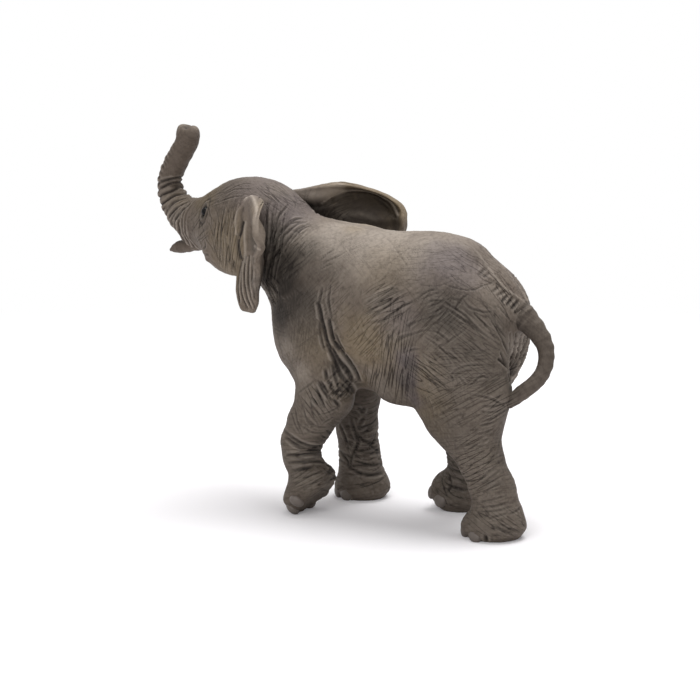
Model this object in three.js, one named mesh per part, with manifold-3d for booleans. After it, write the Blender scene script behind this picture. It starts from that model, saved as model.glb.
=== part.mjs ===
// Toy elephant calf: a painted vinyl figure about 12 cm long, striding with its trunk raised.
// It is moulded in eleven pieces that are glued together for good. Each limb, ear, the head, the
// trunk, the lower lip and the tail has a keyed plug or tab that enters a socket in its carrier.
// Millimetres: +X towards the head, +Y the calf's left, +Z up, soles on the ground at zero.
import * as THREE from 'three';
import { mergeVertices } from 'three/addons/utils/BufferGeometryUtils.js';
import Module from 'manifold-3d';

const wasm = await Module();
wasm.setup();

// Fit of one moulding in the next
const glueGap = 0.3;
const overrun = 6;
const plugLap = 2;

// Barrel of the body; the stations are measured along the figure from the middle of its stride, and
// the height of the back carries the heights of the head, the trunk, the ears, the tail and the hips
const backHeight = 77.4;
const bellyHeight = 32.6;
const barrelLength = 60;
const barrelWidth = 36;
const barrelStation = 2;

// Head and neck; the head is turned to the calf's right, in degrees, about an upright axis in the neck
const headTurn = 12;
const neckPivotAhead = 36;
const headStation = 49.6;
const headBelowBack = 0.5;
const headLength = 29.5;
const headWidth = 23;
const headDepth = 24;
const skullAngle = -8;
const browAngle = 25;
const neckRadius = 13.6;
const napeRadius = 11.6;
const neckSeamAhead = 36.6;
const neckPlugRadius = 6;
const neckPlugDepth = 7;
const eyeRadius = 1.5;

// Trunk, raised in an S from the muzzle
const muzzleRadius = 6.8;
const trunkSeamAhead = 66.5;
const trunkReach = 17.4;
const trunkRise = 23.4;
const trunkRootDrop = 2;
const trunkRootRadius = 5.9;
const trunkTipRadius = 3.4;
const trunkRibPitch = 1.8;
const trunkRibDepth = 0.4;
const trunkPlugRadius = 3.4;
const trunkPlugDepth = 5.5;
const nostrilRadius = 0.75;
const nostrilDepth = 2.2;

// Lower lip, a pointed tongue of its own under the muzzle
const lipReach = 17.6;
const lipDrop = 2.6;
const lipRootRadius = 2.2;
const lipTipRadius = 1.25;
const lipPlugDepth = 3.5;

// Ears, cupped sheets swept back
const earHeight = 32;
const earThickness = 1.7;
const leftEarRise = 9.3;
const rightEarRise = 11;
const earStation = 47.2;
const earRootSpread = 11.5;
const earTabDepth = 3.4;
const leftEarWidth = 31;
const rightEarWidth = 33.6;
const earSweep = 40;
const earCupAngle = 80;
const earTabAngle = 20;
const earDroop = 2.6;
const earRimRoll = 2.4;
const earPleatDepth = 0.5;

// Tail, curled down and in to the left buttock
const tailRootShare = 0.9834;
const tailRootBelowBack = 15.6;
const tailDrop = 24.2;
const tailReach = 13.7;
const tailSwing = 9;
const tailRootRadius = 3.9;
const tailTipRadius = 1.9;
const tailRibPitch = 2.8;
const tailRibDepth = 0.3;
const tailPlugRadius = 2.1;
const tailPlugDepth = 4.5;

// Legs: joint stations, girths, and where each foot stands
const hipBelowBack = 23.4;
const stance = 11.5;
const shoulderShare = 0.7;
const hipShare = 0.6334;
const leftForeFootAngle = 46;
const rightHindFootAngle = -14;
const foreGirth = 10.2;
const hindGirth = 12;
const foreFootRadius = 7.9;
const hindFootRadius = 8.3;
const footHeight = 6;
const legPlugRadius = 4.4;
const legPlugDepth = 3.8;
const nailWidth = 4.2;
const nailHeight = 4.2;
const nailThickness = 1.3;

// Seams of the legs on the body: an arch over each shoulder and haunch, and a leaning inner face
const seamGroinHeight = 30.6;
const seamInset = 1.5;
const seamLean = 0.25;
const foreArchHalfWidth = 10.8;
const hindArchHalfWidth = 16.6;
const archSpringHeight = 47;
const archRise = 15;
const footRoom = 14;

// Size of the facets of each moulding
const torsoFacet = 4.3;
const headFacet = 3.1;
const legFacet = 3.5;

const half = (size) => size / 2;
const rad = THREE.MathUtils.degToRad;
const { lerp, smoothstep } = THREE.MathUtils;

// Heights and stations that follow from the barrel
const headHeight = backHeight - headBelowBack;
const trunkRootHeight = headHeight - trunkRootDrop;
const leftEarTopHeight = headHeight + leftEarRise;
const rightEarTopHeight = headHeight + rightEarRise;
const tailRootHeight = backHeight - tailRootBelowBack;
const hipHeight = backHeight - hipBelowBack;
const shoulderStation = barrelStation + shoulderShare * half(barrelLength);
const hipStation = barrelStation - hipShare * half(barrelLength);
const tailStation = barrelStation - tailRootShare * half(barrelLength);

// Flesh is a distance: under zero inside, over zero outside
function softJoin(a, b, blend) {
  const near = Math.max(blend - Math.abs(a - b), 0) / blend;
  return Math.min(a, b) - near * near * blend / 4;
}

function lump([cx, cy, cz], [rx, ry, rz], pitch = 0) {
  const cos = Math.cos(rad(pitch));
  const sin = Math.sin(rad(pitch));
  return (x, y, z) => {
    const u = (x - cx) * cos - (z - cz) * sin;
    const v = y - cy;
    const w = (x - cx) * sin + (z - cz) * cos;
    const reach = Math.hypot(u / rx, v / ry, w / rz);
    const slope = Math.hypot(u / rx / rx, v / ry / ry, w / rz / rz);
    return slope > 0 ? reach * (reach - 1) / slope : -Math.min(rx, ry, rz);
  };
}

// A tapered length between two nodes { at, deep, wide }, elliptical in section
function bone(a, b) {
  const run = b.at.map((value, i) => value - a.at[i]);
  const runSquared = run.reduce((sum, value) => sum + value * value, 0);
  return (x, y, z) => {
    const p = [x - a.at[0], y - a.at[1], z - a.at[2]];
    const along = p.reduce((sum, value, i) => sum + value * run[i], 0) / runSquared;
    const t = THREE.MathUtils.clamp(along, 0, 1);
    const deep = lerp(a.deep, b.deep, t);
    const ratio = lerp(a.wide, b.wide, t) / deep;
    const [u, v, w] = p.map((value, i) => value - t * run[i]);
    return (Math.hypot(u, v / ratio, w) - deep) * Math.min(ratio, 1);
  };
}

function chain(nodes, blend) {
  const bones = nodes.slice(1).map((node, i) => bone(nodes[i], node));
  return (x, y, z) => bones.reduce((d, each) => softJoin(d, each(x, y, z), blend), Infinity);
}

// The head's own frame is turned about the neck's pivot; these carry points, ways and fleshes over
const turnCos = Math.cos(rad(headTurn));
const turnSin = Math.sin(rad(headTurn));
const turnedWay = ([x, y, z]) => [x * turnCos + y * turnSin, y * turnCos - x * turnSin, z];
const turnedPoint = ([x, y, z]) => {
  const way = turnedWay([x - neckPivotAhead, y, z]);
  return [way[0] + neckPivotAhead, way[1], way[2]];
};
const turnedFlesh = (flesh) => (x, y, z) => flesh(
  neckPivotAhead + (x - neckPivotAhead) * turnCos - y * turnSin,
  (x - neckPivotAhead) * turnSin + y * turnCos,
  z,
);

const bothSides = (flesh) => (x, y, z) => flesh(x, Math.abs(y), z);

function blendAll(rows) {
  return (x, y, z) => rows.reduce((d, [flesh, blend]) => softJoin(d, flesh(x, y, z), blend), Infinity);
}

// Barrel: places and sizes of the masses as shares of its half length, half width and half depth
const barrelHalf = [half(barrelLength), half(barrelWidth), half(backHeight - bellyHeight)];
const barrelMiddle = [barrelStation, 0, half(backHeight + bellyHeight)];
const onBarrel = (shares) => shares.map((share, i) => barrelMiddle[i] + share * barrelHalf[i]);
const ofBarrel = (shares) => shares.map((share, i) => share * barrelHalf[i]);
const barrelMass = (atShares, sizeShares, pitch) => lump(onBarrel(atShares), ofBarrel(sizeShares), pitch);
const softness = 0.39 * half(barrelWidth);

const croupShares = [[-0.4, 0, 0.29, 0.85], [-0.74, 0, 0.115, 0.73]];
const croup = chain(croupShares.map(([x, y, z, girthShare]) => {
  const radius = girthShare * half(barrelWidth);
  return { at: onBarrel([x, y, z]), deep: radius, wide: radius };
}), softness);

const dockShares = [[-0.86, 0, 0.43, 0.29], [-1.09, 0, 0.2, 0.2]];
const dock = chain(dockShares.map(([x, y, z, girthShare]) => {
  const radius = girthShare * half(barrelWidth);
  return { at: onBarrel([x, y, z]), deep: radius, wide: radius };
}), softness);

// Head: the same, from the middle of the skull
const headHalf = [half(headLength), half(headWidth), half(headDepth)];
const headMiddle = [headStation, 0, headHeight];
const onHead = (shares) => shares.map((share, i) => headMiddle[i] + share * headHalf[i]);
const ofHead = (shares) => shares.map((share, i) => share * headHalf[i]);
const headMass = (atShares, sizeShares, pitch) => lump(onHead(atShares), ofHead(sizeShares), pitch);

const neckRootShares = [0.93, 0, 0.45];
const napeShares = [-0.28, 0, -0.3];
const neckNodes = [
  { at: onBarrel(neckRootShares), deep: neckRadius, wide: neckRadius },
  { at: turnedPoint(onHead(napeShares)), deep: napeRadius, wide: napeRadius },
];
const muzzleNodes = [
  { at: [...onHead([1.08, 0]), trunkRootHeight], deep: muzzleRadius, wide: muzzleRadius },
  { at: [...onHead([1.64, 0]), trunkRootHeight], deep: 0.82 * muzzleRadius, wide: 0.82 * muzzleRadius },
];

// Legs: rows of [forward, out, up, deep, wide], the first and third as shares of the hip height,
// the second of the stance, and the last two of the leg's girth
const legRows = (station, side, girth, shares) => shares.map(([forward, out, up, deep, wide]) => ({
  at: [station + forward * hipHeight, side * out * stance, up * hipHeight],
  deep: deep * girth,
  wide: wide * girth,
}));

const leftForeShares = [
  [0, 0.7, 1, 1, 0.78], [-0.041, 0.83, 0.78, 0.83, 0.74], [-0.041, 0.91, 0.61, 0.755, 0.67],
  [0.035, 0.98, 0.463, 0.58, 0.59], [0.085, 1, 0.36, 0.51, 0.53], [0.083, 1, 0.28, 0.45, 0.5],
  [0.055, 1, 0.2, 0.44, 0.49],
];
const rightForeShares = [
  [0, 0.7, 1, 1, 0.78], [-0.028, 0.83, 0.78, 0.84, 0.74], [-0.01, 0.94, 0.54, 0.59, 0.61],
  [-0.003, 0.96, 0.37, 0.53, 0.54], [-0.02, 0.98, 0.185, 0.6, 0.57],
];
const leftHindShares = [
  [0, 0.74, 1, 1, 0.71], [-0.025, 0.83, 0.78, 1.12, 0.72], [-0.098, 0.87, 0.63, 1.05, 0.68],
  [-0.125, 0.92, 0.5, 0.62, 0.58], [-0.183, 0.98, 0.38, 0.46, 0.51], [-0.248, 1, 0.24, 0.46, 0.48],
  [-0.283, 1, 0.13, 0.5, 0.52],
];
const rightHindShares = [
  [0.019, 0.74, 1, 1, 0.71], [0.056, 0.83, 0.78, 0.93, 0.7], [0.074, 0.89, 0.574, 0.78, 0.63],
  [0.092, 0.96, 0.39, 0.52, 0.5], [0.098, 0.96, 0.2, 0.44, 0.47],
];

// One leg: its bones, where its foot lies, how far the foot is pitched toe down, and its nails
function makeLeg(name, side, station, girth, shares, foot, arch) {
  const nodes = legRows(station, side, girth, shares);
  const footAt = [station + foot.forwardShare * hipHeight, side * stance, foot.upShare * hipHeight];
  const footSize = [foot.radius, 0.95 * foot.radius, foot.heightShare * footHeight];
  const soft = 0.4 * girth;
  const pad = lump(footAt, footSize, foot.pitch);
  const lower = chain(nodes, 0.2 * girth);
  const shank = (x, y, z) => softJoin(lower(x, y, z), pad(x, y, z), 0.25 * girth);
  const upper = chain(nodes.slice(0, 3), 0.2 * girth);
  return { name, side, station, arch, nodes, footAt, footSize, pitch: foot.pitch, nails: foot.nails, soft,
    shank, upper };
}

const leftForeFoot = {
  forwardShare: 0.037, upShare: 0.128, radius: 1.04 * foreFootRadius, heightShare: 0.87,
  pitch: leftForeFootAngle, nails: 5,
};
const rightForeFoot = {
  forwardShare: -0.03, upShare: 0.067, radius: 0.95 * foreFootRadius, heightShare: 1.03, pitch: 0, nails: 5,
};
const leftHindFoot = {
  forwardShare: -0.256, upShare: 0.06, radius: hindFootRadius, heightShare: 0.93, pitch: 0, nails: 4,
};
const rightHindFoot = {
  forwardShare: 0.155, upShare: 0.09, radius: 0.92 * hindFootRadius, heightShare: 1.07,
  pitch: rightHindFootAngle, nails: 4,
};
const foreArch = { middle: shoulderStation - 0.02 * hipHeight, halfWidth: foreArchHalfWidth };
const leftHindArch = { middle: hipStation - 0.075 * hipHeight, halfWidth: hindArchHalfWidth };
const rightHindArch = { middle: hipStation + 0.02 * hipHeight, halfWidth: 0.93 * hindArchHalfWidth };
const legs = [
  makeLeg('left_foreleg', 1, shoulderStation, foreGirth, leftForeShares, leftForeFoot, foreArch),
  makeLeg('right_foreleg', -1, shoulderStation, foreGirth, rightForeShares, rightForeFoot, foreArch),
  makeLeg('left_hind_leg', 1, hipStation, hindGirth, leftHindShares, leftHindFoot, leftHindArch),
  makeLeg('right_hind_leg', -1, hipStation, hindGirth, rightHindShares, rightHindFoot, rightHindArch),
];

// The trunk of flesh that all the mouldings share: body, neck, head and the tops of the legs
const core = blendAll([
  [barrelMass([0, 0, 0], [1, 1, 1]), softness],
  [croup, 0.85 * softness],
  [dock, 0.45 * softness],
  [bothSides(barrelMass([-0.642, 0.472, -0.11], [0.42, 0.489, 0.76], 6)), 0.7 * softness],
  [barrelMass([0.6, 0, 0.225], [0.533, 0.75, 0.737]), softness],
  [bothSides(barrelMass([0.7, 0.444, -0.09], [0.383, 0.461, 0.85], 4)), 0.7 * softness],
  [barrelMass([0.855, 0, -0.36], [0.425, 0.72, 0.58]), 0.85 * softness],
  [bothSides(barrelMass([-0.12, 0.58, -0.78], [0.22, 0.24, 0.22])), 0.5 * softness],
  [chain(neckNodes, softness), 1.15 * softness],
  [turnedFlesh(headMass([0, 0, 0], [1, 1, 1], skullAngle)), 0.7 * softness],
  [turnedFlesh(headMass([0.76, 0, -0.025], [0.72, 0.68, 0.69], browAngle)), 0.85 * softness],
  [turnedFlesh(bothSides(headMass([0.304, 0.504, -0.55], [0.7, 0.478, 0.68]))), 0.7 * softness],
  [turnedFlesh(chain(muzzleNodes, softness)), 0.7 * softness],
  ...legs.map((leg) => [leg.upper, leg.soft]),
]);

// Facets over a flesh: one vertex in each cell that the surface crosses, drawn onto the surface
function facetFlesh(flesh, low, high, cell) {
  const boxed = (x, y, z) => Math.max(flesh(x, y, z), low[0] - x, x - high[0], low[1] - y, y - high[1],
    low[2] - z, z - high[2]);
  const count = low.map((value, i) => Math.ceil((high[i] - value) / cell) + 3);
  const place = (i, axis) => low[axis] + (i - 1) * cell;
  const step = [1, count[0], count[0] * count[1]];
  const index = (i, j, k) => i * step[0] + j * step[1] + k * step[2];
  const value = new Float64Array(count[0] * count[1] * count[2]);
  for (let k = 0; k < count[2]; k += 1) {
    for (let j = 0; j < count[1]; j += 1) {
      for (let i = 0; i < count[0]; i += 1) {
        value[index(i, j, k)] = boxed(place(i, 0), place(j, 1), place(k, 2));
      }
    }
  }
  closePinches(value, count, step, -0.01 * cell);

  // A vertex at the mean of the crossings on the cell's edges, then drawn onto the surface
  const vertexOf = new Int32Array(value.length).fill(-1);
  const vertices = [];
  const corners = [0, step[0], step[1], step[0] + step[1]].flatMap((offset) => [offset, offset + step[2]]);
  const cornerPlace = corners.map((offset) => [offset % step[1] === 1 ? 1 : 0,
    Math.floor(offset / step[1]) % count[1] === 1 ? 1 : 0, Math.floor(offset / step[2])]);
  for (let k = 0; k < count[2] - 1; k += 1) {
    for (let j = 0; j < count[1] - 1; j += 1) {
      for (let i = 0; i < count[0] - 1; i += 1) {
        const first = index(i, j, k);
        const at = crossingMean(value, first, corners, cornerPlace);
        if (at) {
          vertexOf[first] = vertices.length;
          const start = [place(i + at[0], 0), place(j + at[1], 1), place(k + at[2], 2)];
          vertices.push(drawOn(boxed, start, cell));
        }
      }
    }
  }

  // Two triangles for each grid edge that the surface crosses, split along the shorter diagonal
  const faces = [];
  for (let axis = 0; axis < 3; axis += 1) {
    const [b, c] = [(axis + 1) % 3, (axis + 2) % 3];
    for (let k = 1; k < count[2] - 1; k += 1) {
      for (let j = 1; j < count[1] - 1; j += 1) {
        for (let i = 1; i < count[0] - 1; i += 1) {
          const first = index(i, j, k);
          const inside = value[first] < 0;
          if (inside !== value[first + step[axis]] < 0) {
            const ring = [0, -step[b], -step[b] - step[c], -step[c]].map((offset) => vertexOf[first + offset]);
            faces.push(...splitQuad(inside ? ring : ring.reverse(), vertices));
          }
        }
      }
    }
  }
  return solidOf(vertices, faces);
}

// Where two cells would touch along an edge only, the lesser outside corner is filled
function closePinches(value, count, step, filled) {
  for (let changed = true; changed;) {
    changed = false;
    for (const [b, c] of [[0, 1], [1, 2], [2, 0]]) {
      for (let first = 0; first < value.length - step[b] - step[c]; first += 1) {
        const ring = [first, first + step[b], first + step[b] + step[c], first + step[c]];
        const inside = ring.map((corner) => value[corner] < 0);
        if (inside[0] === inside[2] && inside[1] === inside[3] && inside[0] !== inside[1]) {
          const outside = ring.filter((corner, i) => !inside[i]);
          value[value[outside[0]] < value[outside[1]] ? outside[0] : outside[1]] = filled;
          changed = true;
        }
      }
    }
  }
}

function crossingMean(value, first, corners, cornerPlace) {
  const sum = [0, 0, 0];
  let crossings = 0;
  for (let a = 0; a < corners.length; a += 1) {
    for (let b = a + 1; b < corners.length; b += 1) {
      const [pa, pb] = [cornerPlace[a], cornerPlace[b]];
      const apart = Math.abs(pa[0] - pb[0]) + Math.abs(pa[1] - pb[1]) + Math.abs(pa[2] - pb[2]);
      const [va, vb] = [value[first + corners[a]], value[first + corners[b]]];
      if (apart === 1 && va < 0 !== vb < 0) {
        const t = va / (va - vb);
        pa.forEach((start, i) => { sum[i] += start + t * (pb[i] - start); });
        crossings += 1;
      }
    }
  }
  return crossings > 0 ? sum.map((each) => each / crossings) : null;
}

function drawOn(flesh, start, cell) {
  const probe = 0.05 * cell;
  let at = [...start];
  for (let round = 0; round < 3; round += 1) {
    const [x, y, z] = at;
    const slope = [flesh(x + probe, y, z) - flesh(x - probe, y, z), flesh(x, y + probe, z) - flesh(x, y - probe, z),
      flesh(x, y, z + probe) - flesh(x, y, z - probe)].map((rise) => rise / probe / 2);
    const steepness = slope.reduce((sum, each) => sum + each * each, 0);
    const move = flesh(x, y, z) / Math.max(steepness, 0.25);
    at = at.map((each, i) => each - move * slope[i]);
  }
  const moved = Math.hypot(...at.map((each, i) => each - start[i]));
  const allowed = Math.min(1, 0.45 * cell / Math.max(moved, probe));
  return at.map((each, i) => lerp(start[i], each, allowed));
}

function splitQuad([a, b, c, d], vertices) {
  const across = (p, q) => Math.hypot(...vertices[p].map((each, i) => each - vertices[q][i]));
  return across(a, c) <= across(b, d) ? [a, b, c, a, c, d] : [a, b, d, b, c, d];
}

function solidOf(vertices, faces) {
  return new wasm.Manifold(new wasm.Mesh({
    numProp: 3,
    vertProperties: new Float32Array(vertices.flat()),
    triVerts: new Uint32Array(faces),
  }));
}

// A closed solid through rings of points, each end fanned from its middle
function loft(rings) {
  const sides = rings[0].length;
  const middle = (ring) => ring[0].map((each, axis) => ring.reduce((sum, p) => sum + p[axis], 0) / sides);
  const vertices = [...rings.flat(), middle(rings[0]), middle(rings[rings.length - 1])];
  const faces = [];
  const last = (rings.length - 1) * sides;
  for (let s = 0; s < sides; s += 1) {
    const t = (s + 1) % sides;
    faces.push(rings.length * sides, t, s, rings.length * sides + 1, last + s, last + t);
    for (let r = 0; r < last; r += sides) {
      faces.push(r + s, r + t, r + sides + t, r + s, r + sides + t, r + sides + s);
    }
  }
  return solidOf(vertices, faces);
}

function solidFromGeometry(geometry, matrix) {
  const placed = geometry.clone().applyMatrix4(matrix);
  placed.deleteAttribute('normal');
  placed.deleteAttribute('uv');
  const merged = mergeVertices(placed);
  const { array } = merged.getAttribute('position');
  const vertices = [];
  for (let i = 0; i < array.length; i += 3) vertices.push([array[i], array[i + 1], array[i + 2]]);
  const faces = [...merged.getIndex().array];
  if (matrix.determinant() < 0) {
    for (let i = 0; i < faces.length; i += 3) [faces[i], faces[i + 1]] = [faces[i + 1], faces[i]];
  }
  return solidOf(vertices, faces);
}

// A round plug with one flat, which keys it against turning; its axis runs from at along direction
function plug(at, direction, radius, depth, lap, grown = 0) {
  const r = radius + grown;
  const flat = 0.62 * radius + grown;
  const edge = Math.acos(flat / r);
  const outline = new THREE.Shape();
  outline.absarc(0, 0, r, edge, 2 * Math.PI - edge, false);
  outline.closePath();
  const geometry = new THREE.ExtrudeGeometry(outline, {
    depth: lap + depth + grown, bevelEnabled: false, curveSegments: 8,
  });
  const forward = new THREE.Vector3(...direction).normalize();
  const turn = new THREE.Quaternion().setFromUnitVectors(new THREE.Vector3(0, 0, 1), forward);
  const start = new THREE.Vector3(...at).addScaledVector(forward, -lap);
  return solidFromGeometry(geometry, new THREE.Matrix4().compose(start, turn, new THREE.Vector3(1, 1, 1)));
}

// Everything on the far side of a plane, as a block of the figure's size
const figureSize = barrelLength + headLength + earHeight + backHeight;
function beyond(at, direction, grown = 0) {
  const block = new THREE.BoxGeometry(figureSize, figureSize, figureSize);
  const forward = new THREE.Vector3(...direction).normalize();
  const turn = new THREE.Quaternion().setFromUnitVectors(new THREE.Vector3(0, 0, 1), forward);
  const middle = new THREE.Vector3(...at).addScaledVector(forward, half(figureSize) - grown);
  return solidFromGeometry(block, new THREE.Matrix4().compose(middle, turn, new THREE.Vector3(1, 1, 1)));
}

// The space that a leg takes: an arch in side view, open downwards for the foot, with a leaning inner face
function legSpace(leg, grown = 0) {
  const { middle, halfWidth } = leg.arch;
  const wide = halfWidth + grown;
  const room = wide + footRoom;
  const outline = new THREE.Shape();
  outline.moveTo(middle - room, -overrun);
  outline.lineTo(middle - room, seamGroinHeight - footRoom);
  outline.lineTo(middle - wide, seamGroinHeight + grown);
  outline.lineTo(middle - wide, archSpringHeight);
  outline.absellipse(middle, archSpringHeight, wide, archRise + grown, Math.PI, 0, true, 0);
  outline.lineTo(middle + wide, seamGroinHeight + grown);
  outline.lineTo(middle + room, seamGroinHeight - footRoom);
  outline.lineTo(middle + room, -overrun);
  outline.closePath();
  const geometry = new THREE.ExtrudeGeometry(outline, {
    depth: barrelWidth, bevelEnabled: false, curveSegments: 12,
  });
  const inner = leg.side * (seamInset - grown);
  const lean = leg.side * seamLean;
  const matrix = new THREE.Matrix4().set(
    1, 0, 0, 0,
    0, lean, leg.side, inner - lean * seamGroinHeight,
    0, 1, 0, 0,
    0, 0, 0, 1,
  );
  return solidFromGeometry(geometry, matrix);
}

function legPlug(leg, grown = 0) {
  const height = archSpringHeight;
  const face = leg.side * (seamInset + seamLean * (height - seamGroinHeight));
  return plug([leg.arch.middle, face, height], [0, -leg.side, 0], legPlugRadius, legPlugDepth, plugLap, grown);
}

// Nails round the front of a foot, in the foot's own tilt
const nailSpread = 150;
const nailSeatShare = 0.9;
const nailDropShare = 0.28;
const soleShare = 0.62;
function nails(leg) {
  const ball = new THREE.SphereGeometry(1, 7, 5);
  const tilt = new THREE.Matrix4().makeRotationY(rad(leg.pitch)).setPosition(...leg.footAt);
  return Array.from({ length: leg.nails }, (_, i) => {
    const angle = rad(nailSpread * (i / (leg.nails - 1) - 0.5));
    const [rx, ry, rz] = leg.footSize;
    const size = new THREE.Matrix4().makeScale(nailThickness, half(nailWidth), half(nailHeight));
    const turn = new THREE.Matrix4().makeRotationZ(angle);
    const place = new THREE.Matrix4().makeTranslation(nailSeatShare * rx * Math.cos(angle),
      nailSeatShare * ry * Math.sin(angle), -nailDropShare * rz);
    return solidFromGeometry(ball, tilt.clone().multiply(place).multiply(turn).multiply(size));
  });
}

// One leg with its plug; its sole is flat on the ground, or flat across a foot that is pitched toe down
function legSolid(leg, ...cuts) {
  const flesh = (x, y, z) => Math.min(core(x, y, z), leg.shank(x, y, z));
  const { middle, halfWidth } = leg.arch;
  const reach = halfWidth + footRoom;
  const outer = leg.side * (half(barrelWidth) + plugLap);
  const innerEdge = leg.side * (seamInset - legFacet);
  const low = [middle - reach, Math.min(outer, innerEdge), -half(legFacet)];
  const high = [middle + reach, Math.max(outer, innerEdge), archSpringHeight + archRise + legFacet];
  const soleUp = [Math.sin(rad(leg.pitch)), 0, Math.cos(rad(leg.pitch))];
  const soleAt = leg.footAt.map((each, i) => each - soleShare * leg.footSize[2] * soleUp[i]);
  let solid = facetFlesh(flesh, low, high, legFacet);
  for (const nail of nails(leg)) solid = solid.add(nail);
  solid = solid.intersect(legSpace(leg)).add(legPlug(leg));
  if (leg.pitch > 0) solid = solid.subtract(beyond(soleAt, soleUp.map((each) => -each)));
  solid = solid.subtract(beyond([0, 0, 0], [0, 0, -1]));
  for (const cut of cuts) solid = solid.subtract(cut);
  return solid;
}

// How far a flesh reaches from a point inside it
function reachOut(flesh, from, direction) {
  let reach = 0;
  for (let round = 0; round < 24; round += 1) {
    reach -= 0.9 * flesh(...from.clone().addScaledVector(direction, reach).toArray());
  }
  return reach;
}

// Rings square to a curve, set by a sideways axis; girth is a list of radii or a flesh to reach out to
function curveRings(points, sideways, girth, ringCount, sides, shape, grown = 0) {
  const curve = new THREE.CatmullRomCurve3(points.map((p) => new THREE.Vector3(...p)), false, 'centripetal');
  const listed = (u) => {
    const place = u * (girth.length - 1);
    const i = Math.min(Math.floor(place), girth.length - 2);
    return lerp(girth[i], girth[i + 1], place - i);
  };
  return Array.from({ length: ringCount }, (_, r) => {
    const u = r / (ringCount - 1);
    const along = curve.getTangent(u);
    const level = new THREE.Vector3(...sideways);
    const side = level.clone().addScaledVector(along, -along.dot(level)).normalize();
    const out = new THREE.Vector3().crossVectors(side, along);
    const at = curve.getPoint(u).addScaledVector(along, lerp(-grown, grown, u));
    return Array.from({ length: sides }, (_unused, s) => {
      const angle = 2 * Math.PI * s / sides;
      const direction = out.clone().multiplyScalar(Math.cos(angle)).addScaledVector(side, Math.sin(angle));
      const bare = Array.isArray(girth) ? listed(u) : reachOut(girth, at, direction);
      return at.clone().addScaledVector(direction, bare * shape(u, angle) + grown).toArray();
    });
  });
}

// Trunk: places as shares of its reach and rise, from the seam on the muzzle to the tip
const trunkShares = [
  [0.02, 0], [0.28, 0], [0.6, 0.035], [0.87, 0.18], [1, 0.36], [0.97, 0.52], [0.84, 0.69], [0.67, 0.86],
  [0.5, 1.06],
];
const trunkGirthShares = [1.16, 1.0, 0.87, 0.7, 0.58, 0.55, 0.55, 0.56, 0.59];
const headAhead = turnedWay([1, 0, 0]);
const headBack = turnedWay([-1, 0, 0]);
const headSideways = turnedWay([0, 1, 0]);
const trunkPoints = trunkShares.map(([ahead, up]) => turnedPoint([trunkSeamAhead + ahead * trunkReach, 0,
  trunkRootHeight + up * trunkRise]));
const trunkRadii = trunkGirthShares.map((share) => Math.max(share * trunkRootRadius, trunkTipRadius * 0.9));

const trunkFlesh = blendAll([
  [core, softness],
  [chain(trunkPoints.map((at, i) => ({ at, deep: trunkRadii[i], wide: trunkRadii[i] })), 0.1 * softness),
    0.3 * softness],
]);

// The mouth opens under the trunk's root, at the height of the lower lip
const lipRootHeight = trunkRootHeight - 0.93 * trunkRootRadius;
const mouthHeight = lipRootHeight - half(lipRootRadius);

function trunkSolid(...cuts) {
  const length = new THREE.CatmullRomCurve3(trunkPoints.map((p) => new THREE.Vector3(...p))).getLength();
  const ribs = Math.round(length / trunkRibPitch);
  const depthShare = trunkRibDepth / trunkRootRadius;
  const rib = (u, angle) => {
    const bare = 0.25 + 0.75 * smoothstep(Math.cos(angle), -0.6, 0.5);
    const crest = Math.cos(Math.PI * Math.round(u * 2 * ribs));
    const lips = u > 0.97 ? 1.06 + 0.05 * Math.cos(2 * angle) : 1;
    return lips * (1 + depthShare * bare * crest);
  };
  const seam = turnedPoint([trunkSeamAhead + glueGap, 0, trunkRootHeight]);
  let solid = loft(curveRings(trunkPoints, headSideways, trunkFlesh, 2 * ribs + 1, 10, rib));
  solid = solid.subtract(beyond(seam, headBack));
  solid = solid.subtract(beyond([seam[0], seam[1], mouthHeight], [0, 0, -1]));
  solid = solid.add(plug(seam, headBack, trunkPlugRadius, trunkPlugDepth, plugLap));
  const tip = trunkPoints[trunkPoints.length - 1];
  const beforeTip = trunkPoints[trunkPoints.length - 2];
  const tipRun = tip.map((each, i) => beforeTip[i] - each);
  for (const side of [-1, 1]) {
    const mouth = tip.map((each, i) => each + side * 1.5 * nostrilRadius * headSideways[i]);
    solid = solid.subtract(plug(mouth, tipRun, nostrilRadius, nostrilDepth, plugLap));
  }
  for (const cut of cuts) solid = solid.subtract(cut);
  return solid;
}

// Lower lip: a tapered tongue that droops from the mouth, with its plug in the head
const lipShares = [[-0.12, 0.1], [0.33, 0.2], [0.66, 0.62], [0.93, 1]];
const lipGirthShares = [1, 0.76, 0.78, 0.56];
const lipPoints = lipShares.map(([ahead, down]) => turnedPoint([trunkSeamAhead + ahead * lipReach, 0,
  lipRootHeight - down * lipDrop]));
const lipRadii = lipGirthShares.map((share) => Math.max(share * lipRootRadius, lipTipRadius));

function lipSolid(grown = 0) {
  const broad = (u, angle) => 1 + 0.35 * (1 - u) * Math.abs(Math.sin(angle));
  const rings = curveRings(lipPoints, headSideways, lipRadii, 8, 10, broad, grown);
  const tongue = loft(rings);
  return tongue.add(plug(lipPoints[0], headBack, 0.6 * lipRootRadius, lipPlugDepth, plugLap, grown));
}

// Ears: a sheet laid out in rows from the top of the root down, cupped near the root, then flared
const earOutShares = [0.5, 0.8, 0.93, 0.99, 1, 1, 0.98, 0.94, 0.87, 0.77, 0.65, 0.52, 0.41, 0.33, 0.25];
const earInShares = [0, 0, 0, 0, 0, 0, 0, 0, 0.02, 0.02, 0.02, 0.02, 0.03, 0.06, 0.14];
const earRootShares = [0.6, 0.8, 0.92, 0.98, 1, 1.02, 1.03, 1.03, 1.05, 1.07, 1.1, 1.12, 1.14, 1.15, 1.16];
const earRowCount = earOutShares.length;
const earColumnShares = Array.from({ length: 10 }, (_, c) => c / 9);
const earColumnCount = earColumnShares.length;

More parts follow.
